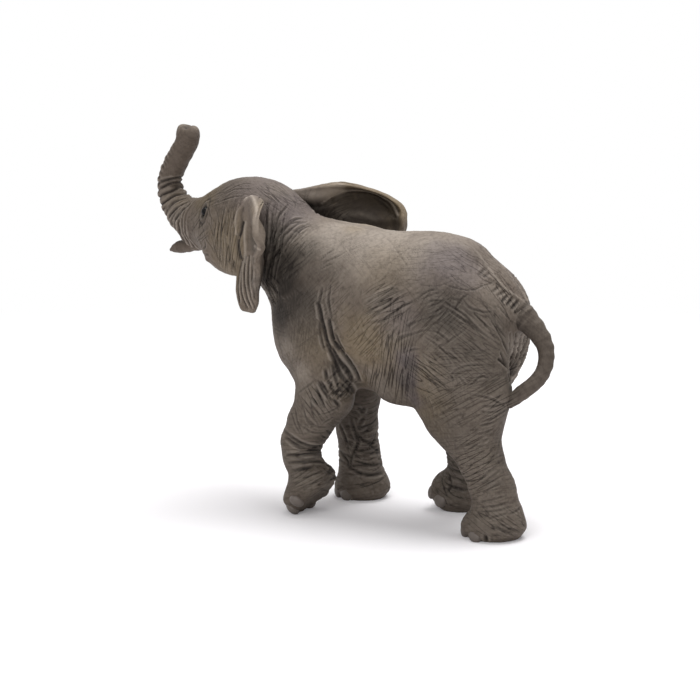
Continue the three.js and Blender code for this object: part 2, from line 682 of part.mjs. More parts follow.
function earSheet(side, width, topHeight, lift, grown) {
  return Array.from({ length: earRowCount }, (_, r) => {
    const v = r / (earRowCount - 1);
    const start = lerp(-earTabDepth, earInShares[r] * width, smoothstep(v, 0.46, 0.6)) - grown;
    const end = earOutShares[r] * width + grown;
    return earColumnShares.map((columnShare, c) => {
      const s = lerp(start, end, columnShare);
      const outward = Math.max(s, 0) / width;
      let x = earStation;
      let y = earRootSpread * earRootShares[r];
      const stepCount = 12;
      for (let i = 0; i < stepCount; i += 1) {
        const cup = lerp(0.08, 0.42, smoothstep(v, 0, 0.35));
        const flare = smoothstep(outward * (i + 0.5) / stepCount, cup - 0.2, cup + 0.2) * (1 - 0.12 * v * v);
        const turn = rad(s < 0 ? earTabAngle : lerp(earCupAngle, earSweep, flare));
        x -= Math.sin(turn) * s / stepCount;
        y += Math.cos(turn) * s / stepCount;
      }
      const crown = earDroop * (outward - 0.4) ** 2 * 4 * (1 - v) ** 2;
      const roll = earRimRoll * Math.max(0, 1 - v / 0.2) ** 2 * smoothstep(outward, 0.05, 0.5);
      const pleat = earPleatDepth * smoothstep(v, 0.55, 0.85) * Math.cos(Math.PI * c);
      const facing = rad(lerp(earCupAngle, earSweep, 0.6));
      const shift = lift - roll + pleat;
      const height = topHeight + grown - v * (earHeight + 2 * grown) - crown - 0.4 * roll;
      return turnedPoint([x + shift * Math.cos(facing), side * (y + shift * Math.sin(facing)), height]);
    });
  });
}

function earSolid(side, width, topHeight, grown = 0) {
  const thick = half(earThickness) + grown;
  const front = earSheet(side, width, topHeight, thick, grown);
  const back = earSheet(side, width, topHeight, -thick, grown);
  const perSheet = earRowCount * earColumnCount;
  const at = (r, c) => r * earColumnCount + c;
  const faces = [];
  const quad = (a, b, c, d) => faces.push(a, b, c, a, c, d);
  for (let r = 0; r < earRowCount - 1; r += 1) {
    for (let c = 0; c < earColumnCount - 1; c += 1) {
      quad(at(r, c), at(r + 1, c), at(r + 1, c + 1), at(r, c + 1));
      quad(perSheet + at(r, c), perSheet + at(r, c + 1), perSheet + at(r + 1, c + 1), perSheet + at(r + 1, c));
    }
  }
  const rim = [];
  for (let c = 0; c < earColumnCount - 1; c += 1) rim.push(at(0, c));
  for (let r = 0; r < earRowCount - 1; r += 1) rim.push(at(r, earColumnCount - 1));
  for (let c = earColumnCount - 1; c > 0; c -= 1) rim.push(at(earRowCount - 1, c));
  for (let r = earRowCount - 1; r > 0; r -= 1) rim.push(at(r, 0));
  rim.forEach((a, i) => {
    const b = rim[(i + 1) % rim.length];
    quad(a, b, perSheet + b, perSheet + a);
  });
  if (side < 0) faces.reverse();
  return solidOf([...front.flat(), ...back.flat()], faces);
}

// Tail: places as shares of its reach, swing and drop, from the dock to the tip
const tailShares = [
  [0, 0, 0], [0.36, 0, 0.155], [0.69, 0, 0.315], [0.91, 0.06, 0.47], [1, 0.22, 0.61], [1, 0.44, 0.74],
  [0.92, 0.67, 0.84], [0.8, 0.88, 0.915], [0.66, 0.98, 0.98],
];
const tailGirthShares = [0.9, 0.8, 0.6, 0.5, 0.49, 0.49, 0.49, 0.51, 0.5];
const tailPoints = tailShares.map(([back, aside, down]) => [tailStation - back * tailReach, aside * tailSwing,
  tailRootHeight - down * tailDrop]);
const tailRadii = tailGirthShares.map((share) => Math.max(share * tailRootRadius, 0.98 * tailTipRadius));
const tailRun = tailPoints[0].map((each, i) => each - tailPoints[1][i]);

function tailSolid(grown = 0) {
  const length = new THREE.CatmullRomCurve3(tailPoints.map((p) => new THREE.Vector3(...p))).getLength();
  const ribs = Math.round(length / tailRibPitch);
  const rib = (u) => 1 + tailRibDepth / tailRootRadius * Math.cos(Math.PI * Math.round(u * 2 * ribs)) * (1 - u);
  const stem = loft(curveRings(tailPoints, [0, 1, 0], tailRadii, 2 * ribs + 1, 8,
    grown > 0 ? () => 1 : rib, grown));
  return stem.add(plug(tailPoints[0], tailRun, tailPlugRadius, tailPlugDepth, plugLap, grown));
}

// Head and neck, from the neck seam to the muzzle seam
const neckAxis = turnedPoint(onHead(napeShares)).map((each, i) => each - onBarrel(neckRootShares)[i]);
const neckSeam = [neckSeamAhead, 0, lerp(onBarrel(neckRootShares)[2], onHead(napeShares)[2], 0.47)];
const backwards = neckAxis.map((each) => -each);

function neckPlug(grown = 0) {
  return plug(neckSeam, backwards, neckPlugRadius, neckPlugDepth, plugLap, grown);
}

function headSolid(...cuts) {
  const low = [neckSeam[0] - napeRadius, -headWidth, bellyHeight];
  const high = [trunkSeamAhead + headFacet, headWidth, backHeight + headDepth];
  let solid = facetFlesh(core, low, high, headFacet);
  const ball = new THREE.SphereGeometry(eyeRadius, 10, 6);
  for (const side of [-1, 1]) {
    const at = turnedPoint(onHead([0.96, side * 0.6, 0.2]));
    solid = solid.add(solidFromGeometry(ball, new THREE.Matrix4().makeTranslation(...at)));
  }
  solid = solid.intersect(beyond(neckSeam, neckAxis, 0)).add(neckPlug());
  const seam = turnedPoint([trunkSeamAhead, 0, trunkRootHeight]);
  solid = solid.subtract(beyond(seam, headAhead));
  solid = solid.subtract(plug(seam, headBack, trunkPlugRadius, trunkPlugDepth, plugLap, glueGap));
  for (const cut of cuts) solid = solid.subtract(cut);
  return solid;
}

function torsoSolid(...cuts) {
  const low = [tailStation - barrelHalf[1], -barrelWidth, seamGroinHeight - torsoFacet];
  const high = [neckSeam[0] + napeRadius, barrelWidth, backHeight + overrun];
  let solid = facetFlesh(core, low, high, torsoFacet);
  solid = solid.subtract(beyond(neckSeam, neckAxis, glueGap)).subtract(neckPlug(glueGap));
  for (const leg of legs) solid = solid.subtract(legSpace(leg, glueGap)).subtract(legPlug(leg, glueGap));
  for (const cut of cuts) solid = solid.subtract(cut);
  return solid;
}

// The painted vinyl of each moulding
const hide = (color) => new THREE.MeshStandardMaterial({ color, roughness: 0.78, metalness: 0 });
const hideGrey = 0x645c56;
const headGrey = 0x625a55;
const earGrey = 0x5d5650;
const trunkGrey = 0x5f5853;
const legGrey = 0x5b544f;

const figure = new THREE.Group();
function put(name, solid, color) {
  const { numProp, vertProperties, triVerts } = solid.getMesh();
  const positions = new Float32Array(triVerts.length * 3);
  triVerts.forEach((vertex, i) => {
    for (let axis = 0; axis < 3; axis += 1) positions[3 * i + axis] = vertProperties[vertex * numProp + axis];
  });
  const geometry = new THREE.BufferGeometry();
  geometry.setAttribute('position', new THREE.BufferAttribute(positions, 3));
  geometry.computeVertexNormals();
  const mesh = new THREE.Mesh(geometry, hide(color));
  mesh.name = name;
  figure.add(mesh);
}

// Room for the ears: slots for their tabs in the head, and a wider berth where they lie along the shoulders
const earRoom = (clearance) => [earSolid(1, leftEarWidth, leftEarTopHeight, clearance),
  earSolid(-1, rightEarWidth, rightEarTopHeight, clearance)];
const tailSeat = tailSolid(glueGap);

put('torso', torsoSolid(tailSeat, ...earRoom(4 * glueGap)), hideGrey);
put('head', headSolid(lipSolid(glueGap), ...earRoom(glueGap)), headGrey);
put('trunk', trunkSolid(lipSolid(2 * glueGap)), trunkGrey);
put('lower_lip', lipSolid(), trunkGrey);
put('left_ear', earSolid(1, leftEarWidth, leftEarTopHeight), earGrey);
put('right_ear', earSolid(-1, rightEarWidth, rightEarTopHeight), earGrey);
for (const leg of legs) put(leg.name, legSolid(leg, tailSeat), legGrey);
put('tail', tailSolid(), trunkGrey);

// The frame's origin: the middle of the figure's outline, on the ground
const outline = new THREE.Box3().setFromObject(figure);
const middle = outline.getCenter(new THREE.Vector3());
figure.position.set(-middle.x, -middle.y, -outline.min.z);

export default figure;
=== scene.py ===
"""Toy elephant calf: a painted vinyl figure about 13 cm long, striding with its trunk raised.

Lengths are in millimetres in the sculptor's own frame: +X towards the head, +Y the calf's left, +Z up,
soles on the ground at zero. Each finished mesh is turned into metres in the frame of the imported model.
"""
import math

import bpy
import numpy as np
from mathutils import Matrix, Vector
from mathutils.bvhtree import BVHTree
from mathutils.kdtree import KDTree


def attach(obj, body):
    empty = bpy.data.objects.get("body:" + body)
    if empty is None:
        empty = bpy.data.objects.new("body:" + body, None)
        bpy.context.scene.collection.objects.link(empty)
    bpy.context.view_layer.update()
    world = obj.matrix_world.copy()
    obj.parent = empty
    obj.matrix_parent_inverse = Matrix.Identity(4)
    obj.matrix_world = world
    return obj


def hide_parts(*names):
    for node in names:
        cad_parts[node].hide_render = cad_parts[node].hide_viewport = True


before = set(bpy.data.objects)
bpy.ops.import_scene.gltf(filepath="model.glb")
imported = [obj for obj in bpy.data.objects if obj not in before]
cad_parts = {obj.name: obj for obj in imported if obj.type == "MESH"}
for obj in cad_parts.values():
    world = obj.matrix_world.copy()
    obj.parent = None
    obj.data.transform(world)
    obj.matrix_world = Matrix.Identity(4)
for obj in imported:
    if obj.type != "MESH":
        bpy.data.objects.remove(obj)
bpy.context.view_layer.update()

# The sculptor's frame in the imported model's frame, in mm, and one mm in metres
SHIFT = np.array([-21.626, -1.803, 0.0])
METRE = 0.001
# The mesh's cell on the torso, in mm
CELL = 0.4
MIRROR = np.array([1, -1, 1])
rng = np.random.default_rng(7)


def to_row(points):
    """Places of the sculptor's frame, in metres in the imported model's frame."""
    return (np.asarray(points, float) + SHIFT) * METRE


# Camera
PHOTO_SIZE = 700
FOCAL_PIXELS = 2775
PHOTO_CENTRE = np.array([394.62, 349.74])
CAMERA_TARGET = np.array([5.0, 0.0, 45.0])
CAMERA_DISTANCE = 750.0
CAMERA_TURN = math.radians(28.37)
CAMERA_RISE = math.radians(10.63)

view_way = np.array([math.cos(CAMERA_RISE) * math.sin(CAMERA_TURN),
                     -math.cos(CAMERA_RISE) * math.cos(CAMERA_TURN), -math.sin(CAMERA_RISE)])
view_right = np.array([-math.cos(CAMERA_TURN), -math.sin(CAMERA_TURN), 0.0])
view_up = np.cross(view_right, view_way)
camera_at = CAMERA_TARGET - CAMERA_DISTANCE * view_way


def pixel_way(u, v):
    """The way from the camera through a pixel of the photograph."""
    way = (view_way + view_right * (u - PHOTO_CENTRE[0]) / FOCAL_PIXELS
           - view_up * (v - PHOTO_CENTRE[1]) / FOCAL_PIXELS)
    return way / np.linalg.norm(way)


# Flesh: distances, under zero inside
def soft_join(a, b, blend):
    """The lesser of two distances, rounded over where they cross."""
    near = np.clip(blend - np.abs(a - b), 0, None) / blend
    return np.minimum(a, b) - near * near * blend / 4


def lump(at, radii, pitch=0.0):
    """An ellipsoid, pitched about the Y axis."""
    cos, sin = math.cos(math.radians(pitch)), math.sin(math.radians(pitch))
    rx, ry, rz = radii

    def flesh(p):
        x, y, z = p[0] - at[0], p[1] - at[1], p[2] - at[2]
        u, w = x * cos - z * sin, x * sin + z * cos
        reach = np.sqrt((u / rx) ** 2 + (y / ry) ** 2 + (w / rz) ** 2)
        slope = np.sqrt((u / rx ** 2) ** 2 + (y / ry ** 2) ** 2 + (w / rz ** 2) ** 2)
        return reach * (reach - 1) / np.maximum(slope, 1e-6)
    return flesh


def bone(a, b):
    """A tapered length between two nodes (x, y, z, deep, wide), elliptical in section."""
    start, run = np.array(a[:3]), np.array(b[:3]) - np.array(a[:3])
    run_squared = float(run @ run)

    def flesh(p):
        q = [p[i] - start[i] for i in range(3)]
        t = np.clip((q[0] * run[0] + q[1] * run[1] + q[2] * run[2]) / run_squared, 0, 1)
        deep = a[3] + (b[3] - a[3]) * t
        ratio = (a[4] + (b[4] - a[4]) * t) / deep
        u, v, w = (q[i] - t * run[i] for i in range(3))
        return (np.sqrt(u * u + (v / ratio) ** 2 + w * w) - deep) * np.minimum(ratio, 1)
    return flesh


def chain(nodes, blend):
    """Bones from node to node, joined softly."""
    bones = [bone(nodes[i], nodes[i + 1]) for i in range(len(nodes) - 1)]

    def flesh(p):
        total = bones[0](p)
        for each in bones[1:]:
            total = soft_join(total, each(p), blend)
        return total
    return flesh


def both_sides(flesh):
    return lambda p: flesh((p[0], np.abs(p[1]), p[2]))


def blend_all(rows):
    def flesh(p):
        total = rows[0][0](p)
        for each, blend in rows[1:]:
            total = soft_join(total, each(p), blend)
        return total
    return flesh


# The head's own frame is turned to the calf's right about an upright axis in the neck
HEAD_TURN = math.radians(12)
NECK_PIVOT = 36.0
TURN_COS, TURN_SIN = math.cos(HEAD_TURN), math.sin(HEAD_TURN)


def turned_point(p):
    """A place of the head's own frame, in the figure's frame."""
    x, y, z = p
    return np.array([NECK_PIVOT + (x - NECK_PIVOT) * TURN_COS + y * TURN_SIN,
                     y * TURN_COS - (x - NECK_PIVOT) * TURN_SIN, z])


def turned_flesh(flesh):
    """A flesh of the head's own frame, in the figure's frame."""
    def turned(p):
        ahead = p[0] - NECK_PIVOT
        return flesh((NECK_PIVOT + ahead * TURN_COS - p[1] * TURN_SIN,
                      ahead * TURN_SIN + p[1] * TURN_COS, p[2]))
    return turned


HEAD_AHEAD = turned_point((NECK_PIVOT + 1, 0, 0)) - turned_point((NECK_PIVOT, 0, 0))
HEAD_SIDEWAYS = np.array([TURN_SIN, TURN_COS, 0.0])


def mirror_head(points):
    """The same places on the head's other side; the head has its own turned middle plane."""
    aside = (points - np.array([NECK_PIVOT, 0, 0])) @ HEAD_SIDEWAYS
    return points - 2 * aside[..., None] * HEAD_SIDEWAYS


# Barrel of the body
BACK_HEIGHT, BELLY_HEIGHT = 77.4, 32.6
BARREL_LENGTH, BARREL_WIDTH, BARREL_STATION = 60.0, 36.0, 2.0
barrel_half = np.array([BARREL_LENGTH / 2, BARREL_WIDTH / 2, (BACK_HEIGHT - BELLY_HEIGHT) / 2])
barrel_middle = np.array([BARREL_STATION, 0, (BACK_HEIGHT + BELLY_HEIGHT) / 2])
SOFTNESS = 0.39 * BARREL_WIDTH / 2


def barrel_mass(at_shares, size_shares, pitch=0.0):
    return lump(barrel_middle + np.array(at_shares) * barrel_half, np.array(size_shares) * barrel_half, pitch)


def girth_chain(rows):
    nodes = []
    for x, y, z, girth_share in rows:
        radius = girth_share * BARREL_WIDTH / 2
        nodes.append((*(barrel_middle + np.array([x, y, z]) * barrel_half), radius, radius))
    return chain(nodes, SOFTNESS)


# Head, neck and muzzle
HEAD_STATION, HEAD_HEIGHT = 49.6, 76.9
HEAD_LENGTH, HEAD_WIDTH, HEAD_DEPTH = 29.5, 23.0, 24.0
NECK_RADIUS, NAPE_RADIUS, NECK_SEAM_AHEAD = 13.6, 11.6, 36.6
MUZZLE_RADIUS = 6.8
TRUNK_SEAM_AHEAD, TRUNK_REACH, TRUNK_RISE = 66.5, 17.4, 23.4
TRUNK_ROOT_HEIGHT, TRUNK_ROOT_RADIUS = 74.9, 5.9
head_half = np.array([HEAD_LENGTH / 2, HEAD_WIDTH / 2, HEAD_DEPTH / 2])
head_middle = np.array([HEAD_STATION, 0, HEAD_HEIGHT])


def on_head(shares):
    return head_middle + np.array(shares) * head_half


def head_mass(at_shares, size_shares, pitch=0.0):
    return lump(on_head(at_shares), np.array(size_shares) * head_half, pitch)


neck_root = barrel_middle + np.array([0.93, 0, 0.45]) * barrel_half
nape = turned_point(on_head([-0.28, 0, -0.3]))
muzzle_nodes = [
    (HEAD_STATION + 1.08 * head_half[0], 0, TRUNK_ROOT_HEIGHT, MUZZLE_RADIUS, MUZZLE_RADIUS),
    (HEAD_STATION + 1.64 * head_half[0], 0, TRUNK_ROOT_HEIGHT, 0.82 * MUZZLE_RADIUS, 0.82 * MUZZLE_RADIUS),
]

# Legs: rows of [forward, out, up, deep, wide] in shares of the hip height, the stance and the girth
HIP_HEIGHT, STANCE = 54.0, 11.5
FORE_GIRTH, HIND_GIRTH, SHOULDER_STATION, HIP_STATION = 10.2, 12.0, 23.0, -17.0
FORE_FOOT, HIND_FOOT, FOOT_HEIGHT = 7.9, 8.3, 6.0


class Leg:
    """One leg: its bones, its foot, how far the foot is pitched toe down, and its seam on the body."""

    def __init__(self, name, side, station, girth, shares, foot, arch):
        self.name, self.side, self.station = name, side, station
        self.nodes = [(station + f * HIP_HEIGHT, side * o * STANCE, u * HIP_HEIGHT, d * girth, w * girth)
                      for f, o, u, d, w in shares]
        forward, up, radius, height, self.pitch, self.nails = foot
        self.foot_at = np.array([station + forward * HIP_HEIGHT, side * STANCE, up * HIP_HEIGHT])
        self.foot_size = np.array([radius, 0.95 * radius, height * FOOT_HEIGHT])
        self.arch_middle, self.arch_half = arch
        self.soft = 0.4 * girth
        lower = chain(self.nodes, 0.2 * girth)
        pad = lump(self.foot_at, self.foot_size, self.pitch)
        self.shank = lambda p: soft_join(lower(p), pad(p), 0.25 * girth)
        self.upper = chain(self.nodes[:3], 0.2 * girth)


FORE_ARCH_HALF, HIND_ARCH_HALF = 10.8, 16.6
FORE_ARCH = (SHOULDER_STATION - 0.02 * HIP_HEIGHT, FORE_ARCH_HALF)
legs = [
    Leg("left_foreleg", 1, SHOULDER_STATION, FORE_GIRTH,
        [(0, 0.7, 1, 1, 0.78), (-0.041, 0.83, 0.78, 0.83, 0.74), (-0.041, 0.91, 0.61, 0.755, 0.67),
         (0.035, 0.98, 0.463, 0.58, 0.59), (0.085, 1, 0.36, 0.51, 0.53), (0.083, 1, 0.28, 0.45, 0.5),
         (0.055, 1, 0.2, 0.44, 0.49)],
        (0.037, 0.128, 1.04 * FORE_FOOT, 0.87, 46, 5), FORE_ARCH),
    Leg("right_foreleg", -1, SHOULDER_STATION, FORE_GIRTH,
        [(0, 0.7, 1, 1, 0.78), (-0.028, 0.83, 0.78, 0.84, 0.74), (-0.01, 0.94, 0.54, 0.59, 0.61),
         (-0.003, 0.96, 0.37, 0.53, 0.54), (-0.02, 0.98, 0.185, 0.6, 0.57)],
        (-0.03, 0.067, 0.95 * FORE_FOOT, 1.03, 0, 5), FORE_ARCH),
    Leg("left_hind_leg", 1, HIP_STATION, HIND_GIRTH,
        [(0, 0.74, 1, 1, 0.71), (-0.025, 0.83, 0.78, 1.12, 0.72), (-0.098, 0.87, 0.63, 1.05, 0.68),
         (-0.125, 0.92, 0.5, 0.62, 0.58), (-0.183, 0.98, 0.38, 0.46, 0.51), (-0.248, 1, 0.24, 0.46, 0.48),
         (-0.283, 1, 0.13, 0.5, 0.52)],
        (-0.256, 0.06, HIND_FOOT, 0.93, 0, 4), (HIP_STATION - 0.075 * HIP_HEIGHT, HIND_ARCH_HALF)),
    Leg("right_hind_leg", -1, HIP_STATION, HIND_GIRTH,
        [(0.019, 0.74, 1, 1, 0.71), (0.056, 0.83, 0.78, 0.93, 0.7), (0.074, 0.89, 0.574, 0.78, 0.63),
         (0.092, 0.96, 0.39, 0.52, 0.5), (0.098, 0.96, 0.2, 0.44, 0.47)],
        (0.155, 0.09, 0.92 * HIND_FOOT, 1.07, -14, 4),
        (HIP_STATION + 0.02 * HIP_HEIGHT, 0.93 * HIND_ARCH_HALF)),
]

# The body and head in one: each mass with the softness of its join
core = blend_all([
    (barrel_mass([0, 0, 0], [1, 1, 1]), 0),
    (girth_chain([(-0.4, 0, 0.29, 0.85), (-0.74, 0, 0.115, 0.73)]), 0.85 * SOFTNESS),
    (girth_chain([(-0.86, 0, 0.43, 0.29), (-1.09, 0, 0.2, 0.2)]), 0.45 * SOFTNESS),
    (both_sides(barrel_mass([-0.642, 0.472, -0.11], [0.42, 0.489, 0.76], 6)), 0.7 * SOFTNESS),
    (barrel_mass([0.6, 0, 0.225], [0.533, 0.75, 0.737]), SOFTNESS),
    (both_sides(barrel_mass([0.7, 0.444, -0.09], [0.383, 0.461, 0.85], 4)), 0.7 * SOFTNESS),
    (barrel_mass([0.855, 0, -0.36], [0.425, 0.72, 0.58]), 0.85 * SOFTNESS),
    (both_sides(barrel_mass([-0.12, 0.58, -0.78], [0.22, 0.24, 0.22])), 0.5 * SOFTNESS),
    (chain([(*neck_root, NECK_RADIUS, NECK_RADIUS), (*nape, NAPE_RADIUS, NAPE_RADIUS)], SOFTNESS),
     1.15 * SOFTNESS),
    (turned_flesh(head_mass([0, 0, 0], [1, 1, 1], -8)), 0.7 * SOFTNESS),
    (turned_flesh(head_mass([0.76, 0, -0.025], [0.72, 0.68, 0.69], 25)), 0.85 * SOFTNESS),
    (turned_flesh(both_sides(head_mass([0.304, 0.504, -0.55], [0.7, 0.478, 0.68]))), 0.7 * SOFTNESS),
    (turned_flesh(chain(muzzle_nodes, SOFTNESS)), 0.7 * SOFTNESS),
] + [(leg.upper, leg.soft) for leg in legs])

# Trunk: places in shares of its reach and rise, from the muzzle to the tip
trunk_shares = [(0.02, 0), (0.28, 0), (0.6, 0.035), (0.87, 0.18), (1, 0.36), (0.97, 0.52), (0.84, 0.69),
                (0.68, 0.85), (0.6, 0.94), (0.575, 1.01)]
trunk_girth_shares = [1.16, 1.0, 0.87, 0.7, 0.58, 0.55, 0.55, 0.54, 0.53, 0.57]
trunk_points = [turned_point((TRUNK_SEAM_AHEAD + a * TRUNK_REACH, 0, TRUNK_ROOT_HEIGHT + u * TRUNK_RISE))
                for a, u in trunk_shares]
trunk_radii = [g * TRUNK_ROOT_RADIUS for g in trunk_girth_shares]

# Tail: places in shares of its reach, swing and drop, from the dock to the tip
DOCK_STATION, DOCK_HEIGHT = -27.5, 61.8
TAIL_REACH, TAIL_SWING, TAIL_DROP, TAIL_ROOT_RADIUS = 13.7, 9.0, 24.2, 3.9
tail_shares = [(0, 0, 0), (0.36, 0, 0.155), (0.69, 0, 0.315), (0.91, 0.06, 0.47), (1, 0.22, 0.61),
               (1, 0.44, 0.74), (0.92, 0.67, 0.84), (0.8, 0.88, 0.915), (0.66, 0.98, 0.98), (0.5, 1.08, 1.07)]
tail_girth_shares = [1.0, 0.9, 0.68, 0.54, 0.5, 0.48, 0.47, 0.47, 0.46, 0.36]
tail_points = [np.array([DOCK_STATION - b * TAIL_REACH, a * TAIL_SWING, DOCK_HEIGHT - d * TAIL_DROP])
               for b, a, d in tail_shares]
tail_radii = [g * TAIL_ROOT_RADIUS for g in tail_girth_shares]

# Lower lip: a tapered tongue under the muzzle, in shares of its reach and drop
LIP_REACH, LIP_DROP = 17.6, 2.6
lip_shares = [(-0.12, 0.1), (0.33, 0.4), (0.66, 0.9), (0.82, 1.12), (0.98, 1.5)]
lip_root_height = TRUNK_ROOT_HEIGHT - 0.93 * TRUNK_ROOT_RADIUS
lip_points = [turned_point((TRUNK_SEAM_AHEAD + a * LIP_REACH, 0, lip_root_height - d * LIP_DROP))
              for a, d in lip_shares]
lip_radii = [2.2, 1.8, 1.72, 1.5, 0.6]


def smooth_path(points, radii, count):
    """Points and radii along a smooth curve through the given ones."""
    points, radii = np.array(points, float), np.array(radii, float)
    padded = np.vstack([2 * points[0] - points[1], points, 2 * points[-1] - points[-2]])
    place = np.linspace(0, len(points) - 1, count)
    i = np.minimum(place.astype(int), len(points) - 2)
    t = (place - i)[:, None]
    a, b, c, d = (padded[i + k] for k in range(4))
    curve = 0.5 * (2 * b + (c - a) * t + (2 * a - 5 * b + 4 * c - d) * t ** 2
                   + (3 * b - a - 3 * c + d) * t ** 3)
    return curve, radii[i] + (radii[i + 1] - radii[i]) * t[:, 0]


def tube_flesh(points, radii, blend, count):
    curve, girth = smooth_path(points, radii, count)
    return chain([(*p, r, r) for p, r in zip(curve, girth)], blend)


trunk_line = tube_flesh(trunk_points, trunk_radii, 0.4, 13)
# The upper lip's jowl: how far ahead, how high and its radius
JOWL = [(62, 71, 3.6), (68, 69.8, 3.2), (73, 69.5, 2.6), (76.3, 70, 2.3)]
jowl = chain([(*turned_point((x, 0, z)), r, r) for x, z, r in JOWL], 0.8)


def trunk_flesh(p):
    """The head and trunk in one, with the upper lip that hangs at the trunk's root."""
    return soft_join(soft_join(core(p), trunk_line(p), 0.3 * SOFTNESS), jowl(p), 1.5)


# Seams between the mouldings
SEAM_GROIN, SEAM_INSET, SEAM_LEAN = 30.6, 1.5, 0.25
ARCH_SPRING, ARCH_RISE, FOOT_ROOM = 47.0, 15.0, 14.0


def leg_space(leg, p):
    """Under zero in the room that a leg takes: an arch in side view with a leaning inner face."""
    x, z = p[0] - leg.arch_middle, p[2]
    wide = leg.arch_half + np.clip(SEAM_GROIN - z, 0, FOOT_ROOM)
    above = np.sqrt((x / leg.arch_half) ** 2 + (np.clip(z - ARCH_SPRING, 0, None) / ARCH_RISE) ** 2) - 1
    arch = np.where(z > ARCH_SPRING, above * min(leg.arch_half, ARCH_RISE), np.abs(x) - wide)
    inner = (SEAM_INSET + SEAM_LEAN * (z - SEAM_GROIN) - leg.side * p[1]) / math.hypot(1, SEAM_LEAN)
    return np.maximum(arch, inner)


neck_axis = (nape - neck_root) / np.linalg.norm(nape - neck_root)
neck_seam = np.array([NECK_SEAM_AHEAD, 0, neck_root[2] + 0.47 * (on_head([0, 0, -0.3])[2] - neck_root[2])])
trunk_seam = turned_point((TRUNK_SEAM_AHEAD, 0, TRUNK_ROOT_HEIGHT))


def past_plane(p, at, way):
    """How far a place lies beyond a plane."""
    return (p[0] - at[0]) * way[0] + (p[1] - at[1]) * way[1] + (p[2] - at[2]) * way[2]


def dive(past):
    """A moulding's skin goes on a little under its neighbour, then turns in and closes."""
    over = np.clip(past - 0.3, 0, None)
    return 1.2 * over + 0.5 * over * over


def calf(p):
    """The body, head and legs in one."""
    total = core(p)
    for leg in legs:
        total = soft_join(total, leg.shank(p), 0.6)
    return total


def torso_flesh(p):
    past = past_plane(p, neck_seam, neck_axis)
    for leg in legs:
        past = np.maximum(past, -leg_space(leg, p))
    return calf(p) + dive(past)


def head_flesh(p):
    past = np.maximum(-past_plane(p, neck_seam, neck_axis), past_plane(p, trunk_seam, HEAD_AHEAD))
    return trunk_flesh(p) + dive(past)


def leg_flesh(leg):
    def flesh(p):
        skin = calf(p) + dive(leg_space(leg, p))
        if leg.pitch > 0:
            up = np.array([math.sin(math.radians(leg.pitch)), 0, math.cos(math.radians(leg.pitch))])
            sole = leg.foot_at - 0.62 * leg.foot_size[2] * up
            skin = -soft_join(-skin, past_plane(p, sole, up), 1.0)
        return -soft_join(-skin, p[2], 0.4)
    return flesh


def trunk_piece_flesh(p):
    return trunk_flesh(p) + dive(-past_plane(p, trunk_seam, HEAD_AHEAD))


# Meshing
def polygonise(flesh, low, high, cell):
    """Vertices and quads on the zero level of a flesh, with one vertex in each cell that it crosses."""
    block = 4
    low = np.asarray(low, float) - 2 * cell
    blocks = np.ceil((np.asarray(high, float) + 2 * cell - low) / (cell * block)).astype(int) + 1
    middles = [low[i] + (np.arange(blocks[i]) + 0.5) * block * cell - 0.5 * cell for i in range(3)]
    coarse = flesh(np.meshgrid(*middles, indexing="ij"))
    near = np.abs(coarse) < 0.87 * block * cell * 1.5
    value = np.repeat(np.repeat(np.repeat(coarse, block, 0), block, 1), block, 2).astype(np.float32)
    bi, bj, bk = np.nonzero(near)
    step = np.arange(block)
    i = bi[:, None, None, None] * block + step[None, :, None, None]
    j = bj[:, None, None, None] * block + step[None, None, :, None]
    k = bk[:, None, None, None] * block + step[None, None, None, :]
    i, j, k = np.broadcast_arrays(i, j, k)
    i, j, k = i.ravel(), j.ravel(), k.ravel()
    value[i, j, k] = flesh((low[0] + i * cell, low[1] + j * cell, low[2] + k * cell))
    inside = value < 0
    part = [slice(0, -1), slice(1, None)]
    total = sum(inside[part[a], part[b], part[c]].astype(np.int8)
                for a in range(2) for b in range(2) for c in range(2))
    cells = np.argwhere((total > 0) & (total < 8))
    index = np.full(inside.shape, -1, np.int32)
    index[cells[:, 0], cells[:, 1], cells[:, 2]] = np.arange(len(cells))
    places, crossings = np.zeros((len(cells), 3)), np.zeros(len(cells))
    for axis in range(3):
        b, c = (axis + 1) % 3, (axis + 2) % 3
        for db in range(2):
            for dc in range(2):
                start = cells.copy()
                start[:, b] += db
                start[:, c] += dc
                end = start.copy()
                end[:, axis] += 1
                va = value[start[:, 0], start[:, 1], start[:, 2]]
                vb = value[end[:, 0], end[:, 1], end[:, 2]]
                crossed = (va < 0) != (vb < 0)
                t = np.where(crossed, va / np.where(crossed, va - vb, 1), 0)
                at = np.zeros((len(cells), 3))
                at[:, axis], at[:, b], at[:, c] = t, db, dc
                places += at * crossed[:, None]
                crossings += crossed
    vertices = low + (cells + places / crossings[:, None]) * cell
    quads = []
    for axis in range(3):
        b, c = (axis + 1) % 3, (axis + 2) % 3
        lower = [slice(1, -1)] * 3
        upper = list(lower)
        lower[axis], upper[axis] = slice(0, -1), slice(1, None)
        flip = inside[tuple(lower)] != inside[tuple(upper)]
        edges = np.argwhere(flip) + np.array([0 if a == axis else 1 for a in range(3)])
        inner = inside[edges[:, 0], edges[:, 1], edges[:, 2]]
        ring = []
        for db, dc in ((-1, -1), (0, -1), (0, 0), (-1, 0)):
            at = edges.copy()
            at[:, b] += db
            at[:, c] += dc
            ring.append(index[at[:, 0], at[:, 1], at[:, 2]])
        ring = np.stack(ring, 1)
        ring[~inner] = ring[~inner][:, ::-1]
        quads.append(ring)
    return vertices, np.vstack(quads)


PROBES = np.array([(1, -1, -1), (-1, -1, 1), (-1, 1, -1), (1, 1, 1)])


